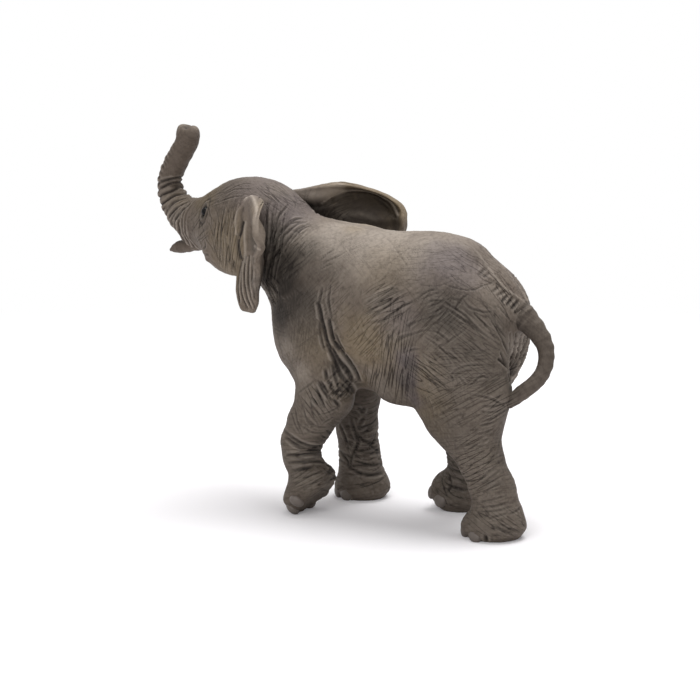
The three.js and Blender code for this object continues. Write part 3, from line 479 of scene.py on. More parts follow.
def slope_of(flesh, points, probe=0.12):
    """The gradient of a flesh at each point, from four probes round it."""
    reach = probe / math.sqrt(3)
    around = (points[None] + reach * PROBES[:, None]).reshape(-1, 3)
    values = flesh(around.T).reshape(4, -1)
    return (values[:, :, None] * PROBES[:, None]).sum(0) / (4 * reach)


def draw_on(flesh, points, rounds=2):
    """Moves vertices onto the zero level."""
    for _ in range(rounds):
        slope = slope_of(flesh, points)
        steep = np.maximum((slope ** 2).sum(1), 0.25)
        move = np.clip(flesh(points.T) / steep, -0.5 * CELL, 0.5 * CELL)
        points = points - move[:, None] * slope
    return points


def unit(vectors):
    return vectors / np.maximum(np.linalg.norm(vectors, axis=-1, keepdims=True), 1e-9)


# Ears
EAR_TOP = {1: 86.2, -1: 87.9}
EAR_WIDTH = {1: 31.0, -1: 33.6}
EAR_HEIGHT, EAR_THICKNESS, EAR_STATION, EAR_ROOT_SPREAD = 32.0, 1.7, 47.2, 11.5
EAR_SWEEP, EAR_CUP_ANGLE, EAR_TAB_ANGLE, EAR_TAB = 40.0, 80.0, 20.0, 3.4
# From the top of an ear to its bottom: how far out its free edge and its root lie, how far out from the head
out_shares = [0.5, 0.8, 0.93, 0.99, 1, 1, 0.98, 0.94, 0.87, 0.77, 0.65, 0.52, 0.41, 0.33, 0.25]
in_shares = [0, 0, 0, 0, 0, 0, 0, 0, 0.02, 0.02, 0.02, 0.02, 0.03, 0.06, 0.14]
root_shares = [0.6, 0.8, 0.92, 0.98, 1, 1.02, 1.03, 1.03, 1.05, 1.07, 1.1, 1.12, 1.14, 1.15, 1.16]
# How far back the left ear's free edge is drawn, in mm, from the top of the ear to the bottom
LEFT_EAR_PUSH = [1.1, 2.7, 1.7, 0.5, -1.4, -2.1, -2.1, -2.3, -1.8, 0.2, 1.6]
CUP_STEPS = 24
BACK_HOLLOW = 2.4


def smoothstep(x, low, high):
    t = np.clip((x - low) / (high - low), 0, 1)
    return t * t * (3 - 2 * t)


def even_curve(shares, v):
    """A table of shares read smoothly at v from 0 to 1."""
    curve, _ = smooth_path([(s, 0, 0) for s in shares], np.zeros(len(shares)), 400)
    return np.interp(v, np.linspace(0, 1, 400), curve[:, 0])


def ear_sheet(side, rows, columns, lift):
    """One face of an ear: a grid of points, cupped near the root and flared beyond, and its dark and pale
    paint; the dark in the right ear's hollow is partly painted shade. The lift is half the ear's thickness,
    positive on the front."""
    v = np.linspace(0, 1, rows)[:, None]
    width = EAR_WIDTH[side]
    tab = 1.9 * EAR_TAB
    start = -tab + (even_curve(in_shares, v) * width + tab) * smoothstep(v, 0.46, 0.6)
    end = even_curve(out_shares, v) * width
    share = np.linspace(0, 1, columns)[None, :]
    s = start + (end - start) * share
    outward = np.maximum(s, 0) / width

    # The sheet bends from the cup angle to the sweep, step by step outwards
    x = np.full(s.shape, EAR_STATION)
    y = EAR_ROOT_SPREAD * even_curve(root_shares, v) + 0 * s
    cup = 0.08 + 0.34 * smoothstep(v, 0, 0.35)
    for i in range(CUP_STEPS):
        reach = outward * (i + 0.5) / CUP_STEPS
        flare = smoothstep(reach, cup - 0.2, cup + 0.2) * (1 - 0.12 * v * v)
        bend = EAR_CUP_ANGLE + (EAR_SWEEP - EAR_CUP_ANGLE) * flare
        turn = np.radians(np.where(s < 0, 0.4 * EAR_TAB_ANGLE, bend))
        x -= np.sin(turn) * s / CUP_STEPS
        y += np.cos(turn) * s / CUP_STEPS

    # Crown, rolled top, flutes, hem and rounded rim
    edge_gap = end - start - (end - start) * share
    crown = 2.6 * (outward - 0.4) ** 2 * 4 * (1 - v) ** 2
    roll = 2.4 * np.maximum(0, 1 - v / 0.2) ** 2 * smoothstep(outward, 0.05, 0.5)
    folds = np.abs(np.sin(math.pi * (5.2 * share + 0.9 * v + 0.12 * np.sin(11 * v + 3 * share))))
    flute = 0.3 * smoothstep(v, 0.35, 0.7) * folds ** 0.7 * smoothstep(share, 0.05, 0.2)
    hem = 0.25 * np.exp(-((edge_gap - 0.7) / 0.6) ** 2) * smoothstep(v, 0.04, 0.2)
    rim = np.minimum(np.minimum(share, 1 - share) * (end - start), np.minimum(v, 1 - v) * EAR_HEIGHT)
    thick = lift * np.sqrt(np.clip(1 - (1 - np.clip(rim, 0, 1)) ** 2, 0, 1))
    pale = np.exp(-((edge_gap - 0.4) / 0.5) ** 2)
    if side > 0:
        # The free edge waves, the lower root goes back and the waist comes forward
        x -= even_curve(LEFT_EAR_PUSH, v) * share ** 1.6
        x -= 1.1 * smoothstep(v, 0.5, 0.75) * (1 - share)
        x += 0.8 * np.exp(-((v - 0.38) / 0.1) ** 2) * smoothstep(share, 0, 0.5)
        pale, ink = 0.25 * pale, np.zeros(s.shape)
        shift = thick - roll + flute + np.sign(lift) * hem
        height = EAR_TOP[side] - v * EAR_HEIGHT - crown - 0.4 * roll
    else:
        # The back is hollow inside a raised border and darkened there with dark paint and painted shade; the
        # front swells with it
        broad = 5.6 - 3.2 * smoothstep(share, 0.42, 0.68)
        inward = soft_join(v * EAR_HEIGHT, edge_gap, 4) / broad
        hollow = 1.5 * np.sin(math.pi * np.clip(inward, 0, 1)) - BACK_HOLLOW * smoothstep(inward, 1, 2.2)
        border = 1 - smoothstep(inward, 0.5, 1.2)
        hollow_paint_and_shade = 1.0 - 0.45 * smoothstep(v, 0.3, 0.5) * smoothstep(share, 0.3, 0.6)
        pale, ink = 0.15 * pale, (1 - border) * (lift < 0) * hollow_paint_and_shade
        roll = 0.4 * roll
        shift = thick - roll - hollow + flute + np.sign(lift) * hem
        if lift > 0:
            shift = thick - roll + BACK_HOLLOW * smoothstep(inward, 0.3, 2.2)
        height = EAR_TOP[side] - v * EAR_HEIGHT - crown - 0.4 * roll
        height -= 1.7 * (1 - v) ** 2 * (1 - smoothstep(outward, 0.15, 0.55))
    facing = math.radians(EAR_CUP_ANGLE + 0.6 * (EAR_SWEEP - EAR_CUP_ANGLE))
    grid = np.stack([x + shift * math.cos(facing), side * (y + shift * math.sin(facing)), height], -1)
    return turned_point(grid.reshape(-1, 3).T).T, ink.ravel(), pale.ravel()


def ear_mesh(side):
    """Both faces of an ear, closed round the rim."""
    rows, columns = ((160, 130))
    front, front_ink, front_pale = ear_sheet(side, rows, columns, EAR_THICKNESS / 2)
    back, back_ink_and_shade, back_pale = ear_sheet(side, rows, columns, -EAR_THICKNESS / 2)
    grid = np.arange(rows * columns).reshape(rows, columns)
    quad = np.stack([grid[:-1, :-1], grid[1:, :-1], grid[1:, 1:], grid[:-1, 1:]], -1).reshape(-1, 4)
    other = quad[:, ::-1] + rows * columns
    rim = np.concatenate([grid[0, :-1], grid[:-1, -1], grid[-1, :0:-1], grid[:0:-1, 0]])
    after = np.roll(rim, -1)
    edge = np.stack([rim, after, after + rows * columns, rim + rows * columns], 1)
    quads = np.vstack([quad, other, edge])
    paint = np.concatenate([front_ink, back_ink_and_shade]), np.concatenate([front_pale, back_pale])
    return np.vstack([front, back]), quads if side > 0 else quads[:, ::-1], paint


# The bare forms
class Form:
    """A piece before it is carved: its vertices, quads, normals and paint."""

    def __init__(self, name, vertices, quads, normals):
        self.name, self.vertices, self.quads, self.normals = name, vertices, quads, normals
        self.height = np.zeros(len(vertices))
        self.ink = np.zeros(len(vertices))
        self.edge = np.zeros(len(vertices))


def mesh_normals(vertices, quads):
    a, b, c, d = (vertices[quads[:, i]] for i in range(4))
    face = np.cross(c - a, d - b)
    total = np.zeros_like(vertices)
    for i in range(4):
        np.add.at(total, quads[:, i], face)
    return unit(total)


def flesh_form(name, flesh, skin, low, high, cell=CELL):
    vertices, quads = polygonise(flesh, low, high, cell)
    vertices = draw_on(flesh, vertices)
    return Form(name, vertices, quads, unit(slope_of(skin, vertices, 0.3)))


def tube_form(name, points, radii, count, low, high):
    flesh = tube_flesh(points, radii, 0.8, count)
    return flesh_form(name, flesh, flesh, low, high, 0.8 * CELL)


forms = [
    flesh_form("torso", torso_flesh, calf, (-38, -20, 28), (50, 20, 82)),
    flesh_form("head", head_flesh, trunk_flesh, (22, -18, 54), (72, 14, 92), 0.75 * CELL),
    flesh_form("trunk", trunk_piece_flesh, trunk_flesh, (58, -17, 64), (88, 4, 104), 0.8 * CELL),
    tube_form("tail", tail_points, tail_radii, 15, (-45, -5, 32), (-22, 14, 67)),
    tube_form("lower_lip", lip_points, lip_radii, 8, (60, -13, 63), (84, 0, 74)),
]
for leg in legs:
    reach = leg.arch_half + FOOT_ROOM
    ends = sorted((-5 * leg.side, 22 * leg.side))
    forms.append(flesh_form(leg.name, leg_flesh(leg), calf, (leg.arch_middle - reach, ends[0], -1),
                            (leg.arch_middle + reach, ends[1], 66), 0.84 * CELL))
for side, name in ((1, "left_ear"), (-1, "right_ear")):
    vertices, quads, (ink, edge) = ear_mesh(side)
    ear = Form(name, vertices, quads, mesh_normals(vertices, quads))
    ear.ink, ear.edge = ink, edge
    forms.append(ear)


# Places read off the view
def tree_of(vertices, quads):
    return BVHTree.FromPolygons(vertices.tolist(), quads.tolist())


FIGURE_MIDDLE_PIXEL = 330


class Look:
    """Finds the place on the figure that shows at a pixel of the photograph."""

    def __init__(self, shapes):
        vertices, quads, start = [], [], 0
        for shape in shapes:
            vertices.append(shape.vertices)
            quads.append(shape.quads + start)
            start += len(shape.vertices)
        self.tree = tree_of(np.vstack(vertices), np.vstack(quads))

    def at(self, u, v):
        hit = self.tree.ray_cast(Vector(camera_at), Vector(pixel_way(u, v)))
        return None if hit[0] is None else np.array(hit[0])

    def near(self, u, v):
        """The same, moved towards the figure's middle where the pixel just misses it."""
        for share in (0, 0.02, 0.04, 0.07, 0.1, 0.15):
            found = self.at(u + (FIGURE_MIDDLE_PIXEL - u) * share, v + (FIGURE_MIDDLE_PIXEL - v) * share)
            if found is not None:
                return found
        return camera_at + CAMERA_DISTANCE * pixel_way(u, v)


look = Look(forms)


def skin(p):
    """The whole calf but for the ears, the tail and the lower lip."""
    return soft_join(calf(p), trunk_line(p), 0.3 * SOFTNESS)


def to_skin(points, rounds=3):
    """The places on the skin nearest to points that lie close to it."""
    for _ in range(rounds):
        slope = slope_of(skin, points)
        steep = np.maximum((slope ** 2).sum(1), 0.3)
        points = points - np.clip(skin(points.T) / steep, -1.5, 1.5)[:, None] * slope
    return points


class Cuts:
    """Grooves kept as rows of points, each with a half width and a depth in millimetres."""

    def __init__(self):
        self.points, self.widths, self.depths = [], [], []

    def add(self, points, width, depth):
        points = np.asarray(points, float)
        self.points.append(points)
        self.widths.append(np.broadcast_to(width, len(points)))
        self.depths.append(np.broadcast_to(depth, len(points)))

    def carve(self, shape, most=3.2):
        """Lowers a form along the grooves, raises their shoulders, and marks both for the paint."""
        points = np.vstack(self.points)
        widths, depths = np.concatenate(self.widths), np.concatenate(self.depths)
        tree = KDTree(len(points))
        for i, point in enumerate(points.tolist()):
            tree.insert(point, i)
        tree.balance()
        found = [tree.find(point)[1:] for point in shape.vertices.tolist()]
        nearest = np.array([each[0] for each in found])
        gap = np.array([each[1] for each in found])
        width, depth = widths[nearest], depths[nearest]
        ratio = np.minimum(gap / width, most)
        groove = np.exp(-ratio ** 2)
        shoulder = np.exp(-((ratio - 1.9) / 0.75) ** 2)
        shape.height += depth * (0.34 * shoulder - groove)
        strength = np.clip(np.abs(depth) / 0.4, 0, 1.4)
        shape.ink += np.where(depth > 0, groove, 0) * strength
        shape.edge += np.where(depth > 0, 0.5 * shoulder, groove) * strength


def taper(count, start=0.25):
    """From thin at the ends of a groove to full in its middle."""
    t = np.linspace(0, 1, count)
    return start + (1 - start) * np.sin(math.pi * t) ** 0.5


def fine_line(corners, spacing=0.45):
    """Even points along a smooth line through pixels."""
    corners = np.array(corners, float)
    length = np.linalg.norm(np.diff(corners, axis=0), axis=1).sum()
    flat = np.column_stack([corners, np.zeros(len(corners))])
    curve, _ = smooth_path(flat, np.zeros(len(corners)), max(int(length / spacing), 4))
    return curve[:, :2]


# Enlarged parts of the photograph that the creases were read in: left, top and enlargement
HEAD_VIEW = (145, 95, 7.84)
SHOULDER_VIEW = (255, 190, 9.8)
HAUNCH_VIEW = (390, 225, 9.224)
FORELEG_VIEW = (255, 340, 8.25)
HIND_LEG_VIEW = (400, 380, 9.22)

# Creases as read in those views: name, view, half width, depth, and the corners x,y of each line
CREASES = [
    ("haunch_seam", HAUNCH_VIEW, 0.22, 0.24, [
        "490,540 600,575 720,598 800,585 870,545 930,525 985,490", "880,550 915,595"]),
    ("haunch_knot", HAUNCH_VIEW, 0.32, 0.3, [
        "560,670 640,682 680,660 720,635", "655,690 600,750", "680,690 740,760 860,800 960,800"]),
    ("haunch_folds", HAUNCH_VIEW, 0.28, 0.32, [
        "500,705 600,768 700,838 780,922 860,1000 940,1055", "470,740 560,795 650,855 720,905 775,950",
        "780,820 860,900 940,990", "900,830 960,920 1010,1010 1060,1100 1100,1190",
        "1000,740 1050,800 1110,870", "940,850 1010,960 1080,1040", "720,880 800,960 900,1030"]),
    ("haunch_arcs", HAUNCH_VIEW, 0.28, 0.24, [
        "205,705 280,650 360,602 440,588", "230,715 320,665 400,632 470,622",
        "300,735 380,695 480,690 560,668", "320,770 400,730 470,705", "340,830 420,790 480,757",
        "380,870 450,820 492,782", "440,885 492,828 525,788", "600,750 640,690",
        "150,950 230,900 330,860 430,832", "40,1100 120,1040 250,990 430,940",
        "110,1185 200,1150 290,1140", "350,970 430,985 500,1030 545,1065",
        "480,1110 560,1060 640,1000 715,940", "640,955 700,930", "330,1030 420,1090 500,1160 590,1240",
        "540,1170 620,1240", "740,1190 880,1165", "540,1400 620,1330 740,1290 860,1290",
        "560,1380 590,1440", "740,1480 830,1400 900,1405", "640,1400 700,1470", "360,1290 440,1370",
        "520,1215 570,1280", "430,1120 500,1100", "250,1240 380,1370 520,1500", "300,1200 420,1300"]),
    ("spine_side_bars", HAUNCH_VIEW, 0.45, 0.3, [
        "825,445 885,392", "868,470 912,432", "955,605 1025,548", "1005,645 1085,585"]),
    ("tail_root_bars", HAUNCH_VIEW, 0.45, 0.6, [
        "1045,705 1095,640", "1085,740 1145,655", "1120,775 1190,690", "1155,815 1220,735",
        "1190,850 1255,770", "1225,880 1290,805", "1270,915 1330,850"]),
    ("buttock_pleats", HAUNCH_VIEW, 0.42, 1.25, [
        "1120,1010 1105,1150 1100,1300 1105,1440", "1165,1000 1140,1150 1115,1300 1110,1440",
        "1210,1010 1180,1150 1140,1300 1115,1420", "1250,1030 1215,1160 1170,1290 1125,1400",
        "1290,1060 1250,1180 1200,1290 1140,1400", "1310,1090 1270,1200 1240,1290 1160,1420",
        "1040,1060 1075,1170 1090,1290 1100,1400", "1020,1180 1070,1290 1095,1400"]),
    ("spine_ridge", HAUNCH_VIEW, 0.4, -0.3, [
        "760,240 880,360 980,470 1080,580 1200,680 1310,780"]),
    ("neck_folds", SHOULDER_VIEW, 0.42, 0.4, [
        "500,310 420,330 330,400 270,455 240,560 180,645 150,740",
        "520,332 430,372 350,445 290,525 262,575", "540,350 470,375 400,435 330,520 280,600",
        "350,300 290,360 230,420 200,500 170,600 150,700", "460,275 390,290 310,350 245,425",
        "250,560 215,650 185,760 175,880", "170,560 140,680 120,800 110,900"]),
    ("throat_strip", SHOULDER_VIEW, 0.3, 0.38, [
        "60,872 110,960 160,1050 200,1112", "90,872 140,960 190,1060 208,1110",
        "122,880 170,960 210,1040", "160,900 200,980 217,1060"]),
    ("withers_cuts", SHOULDER_VIEW, 0.22, 0.24, [
        "640,690 710,630 790,582", "650,742 720,692 800,662 900,610", "672,758 740,722",
        "680,705 735,684", "620,790 700,745 780,715"]),
    ("back_lines", SHOULDER_VIEW, 0.2, 0.15, [
        "1250,460 1330,510 1400,610 1470,710 1500,770", "1240,770 1330,700 1400,650 1480,590 1560,545"]),
    ("flank_folds", SHOULDER_VIEW, 0.34, 0.36, [
        "1070,1120 1150,1060 1240,1010 1330,970 1390,962",
        "1070,1190 1150,1120 1230,1072 1320,1012 1420,970",
        "1060,1232 1130,1180 1200,1130 1300,1080 1440,990", "1140,1250 1220,1185 1300,1130 1400,1060",
        "1120,1300 1230,1282 1330,1222 1430,1142 1500,1110 1568,1080",
        "1380,1568 1380,1500 1430,1440 1568,1400", "1490,1335 1568,1285",
        "1290,1568 1300,1480 1350,1400 1400,1330"]),
    ("armpit_deep", SHOULDER_VIEW, 0.55, 0.9, [
        "620,1100 640,1180 660,1280 690,1380 712,1470 760,1568",
        "730,1260 745,1340 770,1440 800,1510 830,1568"]),
    ("armpit_folds", SHOULDER_VIEW, 0.36, 0.4, [
        "660,950 642,1050 625,1110", "745,930 725,1030 722,1100 755,1250",
        "640,1300 650,1400 670,1500 690,1568", "800,1400 840,1500 880,1568"]),
    ("armpit_lower", FORELEG_VIEW, 0.55, 0.85, [
        "600,30 650,150 700,280 780,370 822,430", "660,0 720,90 780,180 830,262 862,335",
        "640,60 690,170 760,260 800,330"]),
    ("elbow_knots", FORELEG_VIEW, 0.42, 0.5, [
        "580,240 592,320", "640,200 662,300 700,400 745,432", "620,380 662,432 722,472",
        "600,330 640,390", "700,350 760,400 800,440", "640,440 720,400", "680,470 750,440",
        "520,330 562,412 622,492", "500,400 540,480 575,560", "540,340 600,430", "460,470 520,540",
        "650,490 700,550"]),
    ("forearm_lines", FORELEG_VIEW, 0.28, 0.22, [
        "370,700 470,760 560,772", "330,560 352,680 400,790", "430,640 500,710 580,720",
        "400,560 420,640 470,720", "350,440 430,380 500,330", "480,420 520,500 560,590",
        "300,600 330,700 370,770", "520,620 600,600 680,560", "560,690 640,640"]),
    ("left_wrist", FORELEG_VIEW, 0.5, 0.5, [
        "225,735 330,822 430,872 512,884 565,866", "262,950 370,950 480,940 570,948",
        "280,1012 400,1005 500,998 592,1012", "300,1082 400,1062 480,1050", "250,800 330,860 420,900",
        "400,905 480,915 560,910"]),
    ("left_fore_foot", FORELEG_VIEW, 0.3, 0.22, [
        "330,1190 450,1120 560,1080", "400,1240 500,1170 600,1110", "450,1300 560,1220 640,1150",
        "330,1140 400,1090 470,1060", "500,1330 600,1260"]),
    ("right_fore", FORELEG_VIEW, 0.45, 0.45, [
        "900,940 1020,930 1065,950", "830,1000 950,1032 1062,1022",
        "785,1058 880,1102 1000,1112 1065,1090", "790,640 822,750 850,850 800,960 782,1060",
        "830,760 900,830 960,850", "850,560 890,590 900,560", "920,840 1000,900 1050,910",
        "700,700 740,800 770,900", "700,920 760,1000 780,1060", "860,700 900,640", "880,780 940,740",
        "960,880 990,820"]),
    ("foot_splits", FORELEG_VIEW, 0.5, 0.8, [
        "770,1285 776,1345"]),
    ("left_hind", HIND_LEG_VIEW, 0.3, 0.26, [
        "740,290 850,300 960,282", "760,380 850,362 930,332", "720,500 800,482 862,465",
        "740,960 830,900 920,832", "720,930 800,860 900,790", "740,1000 840,940 930,880",
        "760,1040 860,980 950,930", "760,1172 880,1160 1000,1122", "740,1120 860,1100 980,1060",
        "770,1210 900,1200 1040,1160", "870,1330 950,1382 1060,1442", "900,1310 1000,1370 1090,1400",
        "640,130 800,160 900,200 1000,260", "760,240 880,240 980,220", "700,620 760,600",
        "760,570 830,540", "730,420 820,410 900,390", "1000,1240 1080,1200 1130,1150",
        "820,1280 900,1250 980,1230"]),
    ("left_hind_split", HIND_LEG_VIEW, 0.5, 0.8, [
        "790,1430 800,1508"]),
    ("right_hind", HIND_LEG_VIEW, 0.36, 0.34, [
        "430,800 510,842 600,872", "420,850 520,910 640,930", "430,960 540,1000 660,1010",
        "400,1080 440,1160", "450,880 470,960 440,1040"]),
    ("brow_lines", HEAD_VIEW, 0.24, 0.2, [
        "960,680 1040,720 1110,775 1180,840 1230,860", "1000,670 1080,730 1150,800",
        "930,760 1000,790 1060,850", "620,760 750,700 850,690", "560,800 700,740 830,735",
        "540,850 680,800 780,790"]),
    ("eye_to_mouth", HEAD_VIEW, 0.24, 0.24, [
        "440,990 452,1050 480,1130 520,1190 560,1260", "420,1000 430,1080 425,1140",
        "470,860 500,900 505,950"]),
    ("mouth_corner", HEAD_VIEW, 0.4, 0.35, [
        "425,1140 440,1165 440,1190", "465,1150 472,1185 455,1205", "430,1215 455,1235 500,1250",
        "290,1130 330,1190 400,1205"]),
    ("cheek", HEAD_VIEW, 0.21, 0.3, [
        "560,1010 540,1080 560,1160", "600,960 590,1080 600,1200 620,1330",
        "640,940 630,1080 640,1220 655,1380", "680,960 665,1090 668,1230 685,1400",
        "720,1000 700,1110 695,1240 708,1410", "760,1000 738,1100 742,1230", "580,1180 590,1270 610,1350",
        "520,1100 545,1200 580,1290", "500,900 520,980 520,1060", "560,900 575,1000", "620,880 612,950",
        "700,940 672,1040", "650,1200 640,1300 650,1390"]),
    ("behind_ear", HEAD_VIEW, 0.32, 0.36, [
        "960,900 950,1000 945,1130 930,1300", "1000,930 985,1050 970,1200", "1120,860 1040,960 1000,1080",
        "1240,990 1130,1010 1060,1080 1000,1200", "1060,1000 1010,1100 985,1230"]),
    ("trunk_crook", HEAD_VIEW, 0.42, 0.5, [
        "330,805 240,832 190,872 165,905", "312,775 230,785 160,832 125,860",
        "292,700 225,742 150,772 110,790", "290,682 200,692 130,722 102,740",
        "300,640 215,655 130,675 104,690", "345,830 270,870 215,920 165,985",
        "355,850 290,905 245,965 205,1030"]),
    ("flank_hairs", SHOULDER_VIEW, 0.22, 0.1, [
        "1030,1320 1080,1420 1130,1500", "880,1460 960,1390 1020,1325", "1210,1568 1150,1490 1060,1420",
        "440,1540 540,1452 660,1360", "180,1350 240,1400 330,1440", "170,1310 250,1370 320,1400"]),
]


def read_corners(line, view):
    """The photograph's pixels of the corners of a line that was read in an enlarged view."""
    left, top, enlargement = view
    corners = np.array([corner.split(",") for corner in line.split()], float)
    return corners / enlargement + [left, top]


# Each crease runs on the side that shows, and mirrored on the far side
creases, far_creases = Cuts(), Cuts()
for _, view, width, depth, lines in CREASES:
    for line in lines:
        track = [look.at(u, v) for u, v in fine_line(read_corners(line, view))]
        track = np.array([point for point in track if point is not None])
        if len(track) < 3:
            continue
        shape = taper(len(track))
        on_the_head = (track[:, 0] > NECK_PIVOT + 2).all()
        across = mirror_head(track) if on_the_head else track * MIRROR
        for cuts, way in ((creases, track), (far_creases, across)):
            cuts.add(way, width * (0.7 + 0.3 * shape), depth * shape)
creases.add(to_skin(np.vstack(far_creases.points)), np.concatenate(far_creases.widths),
            np.concatenate(far_creases.depths))


def leg_ring(leg, height, sag, start, end, width, depth):
    """A crease round a leg at a height, over part of its way round, in degrees from straight ahead."""
    low = [node for node in leg.nodes if node[2] <= height]
    high = [node for node in leg.nodes if node[2] > height]
    a, b = np.array(high[-1]), np.array(low[0] if low else leg.nodes[-1])
    t = (a[2] - height) / max(a[2] - b[2], 1e-6)
    middle = a + (b - a) * t
    angles = np.radians(np.linspace(start, end, 60))
    points = np.stack([middle[0] + middle[3] * np.cos(angles),
                       middle[1] + leg.side * middle[4] * np.sin(angles),
                       height + sag * np.cos(2 * angles + 0.7)], 1)
    creases.add(to_skin(points), width, depth * taper(60))


# Creases round the legs: height, sag, from and to in degrees, half width and depth
RINGS = {
    "left_foreleg": [(20.5, 0.8, -150, -20, 0.36, 0.25), (17, 0.6, -170, 0, 0.4, 0.3),
                     (26, 1, -120, 0, 0.32, 0.2)],
    "right_foreleg": [(10.5, 0.5, -160, 170, 0.4, 0.3), (13, 0.5, -140, 60, 0.38, 0.28),
                      (16, 0.7, -20, 170, 0.36, 0.24)],
    "left_hind_leg": [(12, 0.6, -160, -10, 0.34, 0.22), (15, 0.8, -150, -30, 0.32, 0.2)],
    "right_hind_leg": [(12.5, 0.6, -150, 150, 0.38, 0.28), (15, 0.8, -160, 100, 0.36, 0.26),
                       (18.5, 1, 20, 180, 0.34, 0.22)],
}
for leg in legs:
    for height, sag, start, end, width, depth in RINGS[leg.name]:
        leg_ring(leg, height, sag, start, end, width, depth)

# Fine wrinkles cut with a knife: pixel, half size across and up in pixels, half depth in mm, slope in
# degrees as it shows in the photograph, spread of the slope, length, spacing, half width and depth in mm
# before the shares below
HATCHES = [
    (440, 318, 30, 34, 14, 38, 14, 3.6, 1.15, 0.26, 0.14),
    (473, 336, 36, 42, 16, -38, 16, 3.6, 1.3, 0.26, 0.15),
    (462, 366, 36, 26, 14, -8, 16, 3.6, 1.2, 0.26, 0.14),
    (428, 374, 24, 20, 10, -45, 8, 6.5, 1.2, 0.3, 0.2), (386, 302, 24, 22, 9, 28, 8, 7, 1.3, 0.32, 0.2),
    (398, 356, 17, 50, 9, 80, 12, 7.5, 1.4, 0.34, 0.22), (379, 378, 17, 18, 7, 90, 15, 3.5, 1.1, 0.3, 0.2),
    (340, 385, 15, 15, 6, 60, 30, 2.6, 1.1, 0.3, 0.26), (300, 340, 20, 36, 8, 82, 12, 5, 1.4, 0.26, 0.12),
    (316, 402, 20, 20, 8, -58, 10, 5, 1.2, 0.3, 0.18), (308, 452, 18, 14, 8, 0, 8, 5, 1.2, 0.3, 0.2),
    (308, 480, 24, 14, 8, 30, 10, 4.5, 1.2, 0.28, 0.16), (366, 440, 22, 42, 9, -30, 40, 4, 1.3, 0.34, 0.26),
    (366, 476, 22, 14, 9, 2, 8, 6, 1.4, 0.34, 0.26), (478, 465, 26, 38, 9, 36, 9, 4.5, 1.05, 0.28, 0.18),
    (466, 396, 44, 32, 12, 18, 10, 5, 1.3, 0.26, 0.14), (500, 400, 18, 24, 10, 20, 14, 5, 1.2, 0.3, 0.2),
    (495, 520, 30, 16, 9, -28, 16, 3.5, 1.2, 0.3, 0.2), (450, 480, 20, 26, 8, -20, 25, 3.5, 1.3, 0.3, 0.22),
    (525, 292, 20, 26, 8, -58, 14, 3.5, 1.1, 0.3, 0.2), (500, 262, 34, 26, 9, -45, 10, 5, 1.2, 0.26, 0.14),
    (218, 195, 34, 13, 8, 27, 6, 6, 1.1, 0.28, 0.14), (227, 243, 16, 36, 8, 86, 7, 6, 1.05, 0.3, 0.24),
    (200, 235, 12, 18, 6, 60, 12, 3, 1, 0.28, 0.16), (275, 195, 22, 18, 9, -38, 12, 5, 1.2, 0.26, 0.14),
    (272, 235, 14, 34, 10, 75, 12, 6, 1.2, 0.28, 0.18), (290, 250, 24, 34, 10, 62, 10, 5, 1.3, 0.26, 0.15),
    (340, 250, 40, 18, 10, 24, 12, 4, 1.5, 0.24, 0.1), (400, 252, 50, 26, 10, 12, 12, 4.5, 1.6, 0.24, 0.09),
    (330, 300, 34, 30, 9, 50, 20, 4, 1.4, 0.26, 0.13), (370, 335, 22, 26, 8, 60, 30, 4.5, 1.5, 0.26, 0.15),
    (430, 270, 40, 30, 10, 8, 16, 3.5, 1.4, 0.26, 0.12), (270, 290, 12, 18, 8, -62, 8, 5, 1, 0.3, 0.2),
    (196, 222, 10, 14, 6, 40, 18, 3, 1, 0.28, 0.16),
]
# Shares of those widths and depths that are cut, and the least half width of a cut in mm
HATCH_WIDTH_SHARE = 0.8
HATCH_DEPTH_SHARE = 0.85
LEAST_HATCH_WIDTH = 0.2

# Finer lines than the mesh can hold are drawn by the paint, in six families: name, slope in degrees,
# length and gap in mm
LINE_FAMILIES = [
    ("lines_falling", -55, 7.5, 0.95), ("lines_slanting", -36, 7, 0.9), ("lines_level", 4, 7, 0.9),
    ("lines_rising", 28, 7.5, 0.9), ("lines_steep", 45, 7, 0.9), ("lines_upright", 82, 9, 0.85),
]


def slope_way(slope):
    """The way along a slope, in degrees, as it shows in the photograph."""
    return view_right * math.cos(math.radians(slope)) + view_up * math.sin(math.radians(slope))


def solid_points(shapes, slack=0.08):
    """Vertices on the outer skin, away from the parts hidden under a neighbour."""
    rows = [shape.vertices for shape in shapes if not shape.name.endswith(("ear", "tail", "lip"))]
    points = np.vstack(rows)
    return points[np.abs(skin(points.T)) < slack]


skin_points = solid_points(forms)
CUT_STEP = 0.4
PIXEL_MM = CAMERA_DISTANCE / FOCAL_PIXELS


def wrinkle_seeds(middle, sizes, way, spread, length, spacing, width, depth):
    """Starting places of short cuts in one general direction, inside an egg-shaped patch of skin."""
    offset = skin_points - middle
    reach = np.sqrt(((offset @ view_right) / sizes[0]) ** 2 + ((offset @ view_up) / sizes[1]) ** 2
                    + ((offset @ view_way) / sizes[2]) ** 2)
    inside = skin_points[reach < 1]
    inside = inside[rng.permutation(len(inside))]
    _, first = np.unique(np.floor(inside / spacing / 1.35).astype(int), axis=0, return_index=True)
    at = inside[first]
    count = len(at)
    return {"at": at, "way": np.tile(way, (count, 1)), "turn": np.radians(rng.normal(0, spread, count)),
            "length": length * rng.uniform(0.45, 1.3, count), "width": np.full(count, width),
            "depth": depth * rng.uniform(0.45, 1.25, count)}


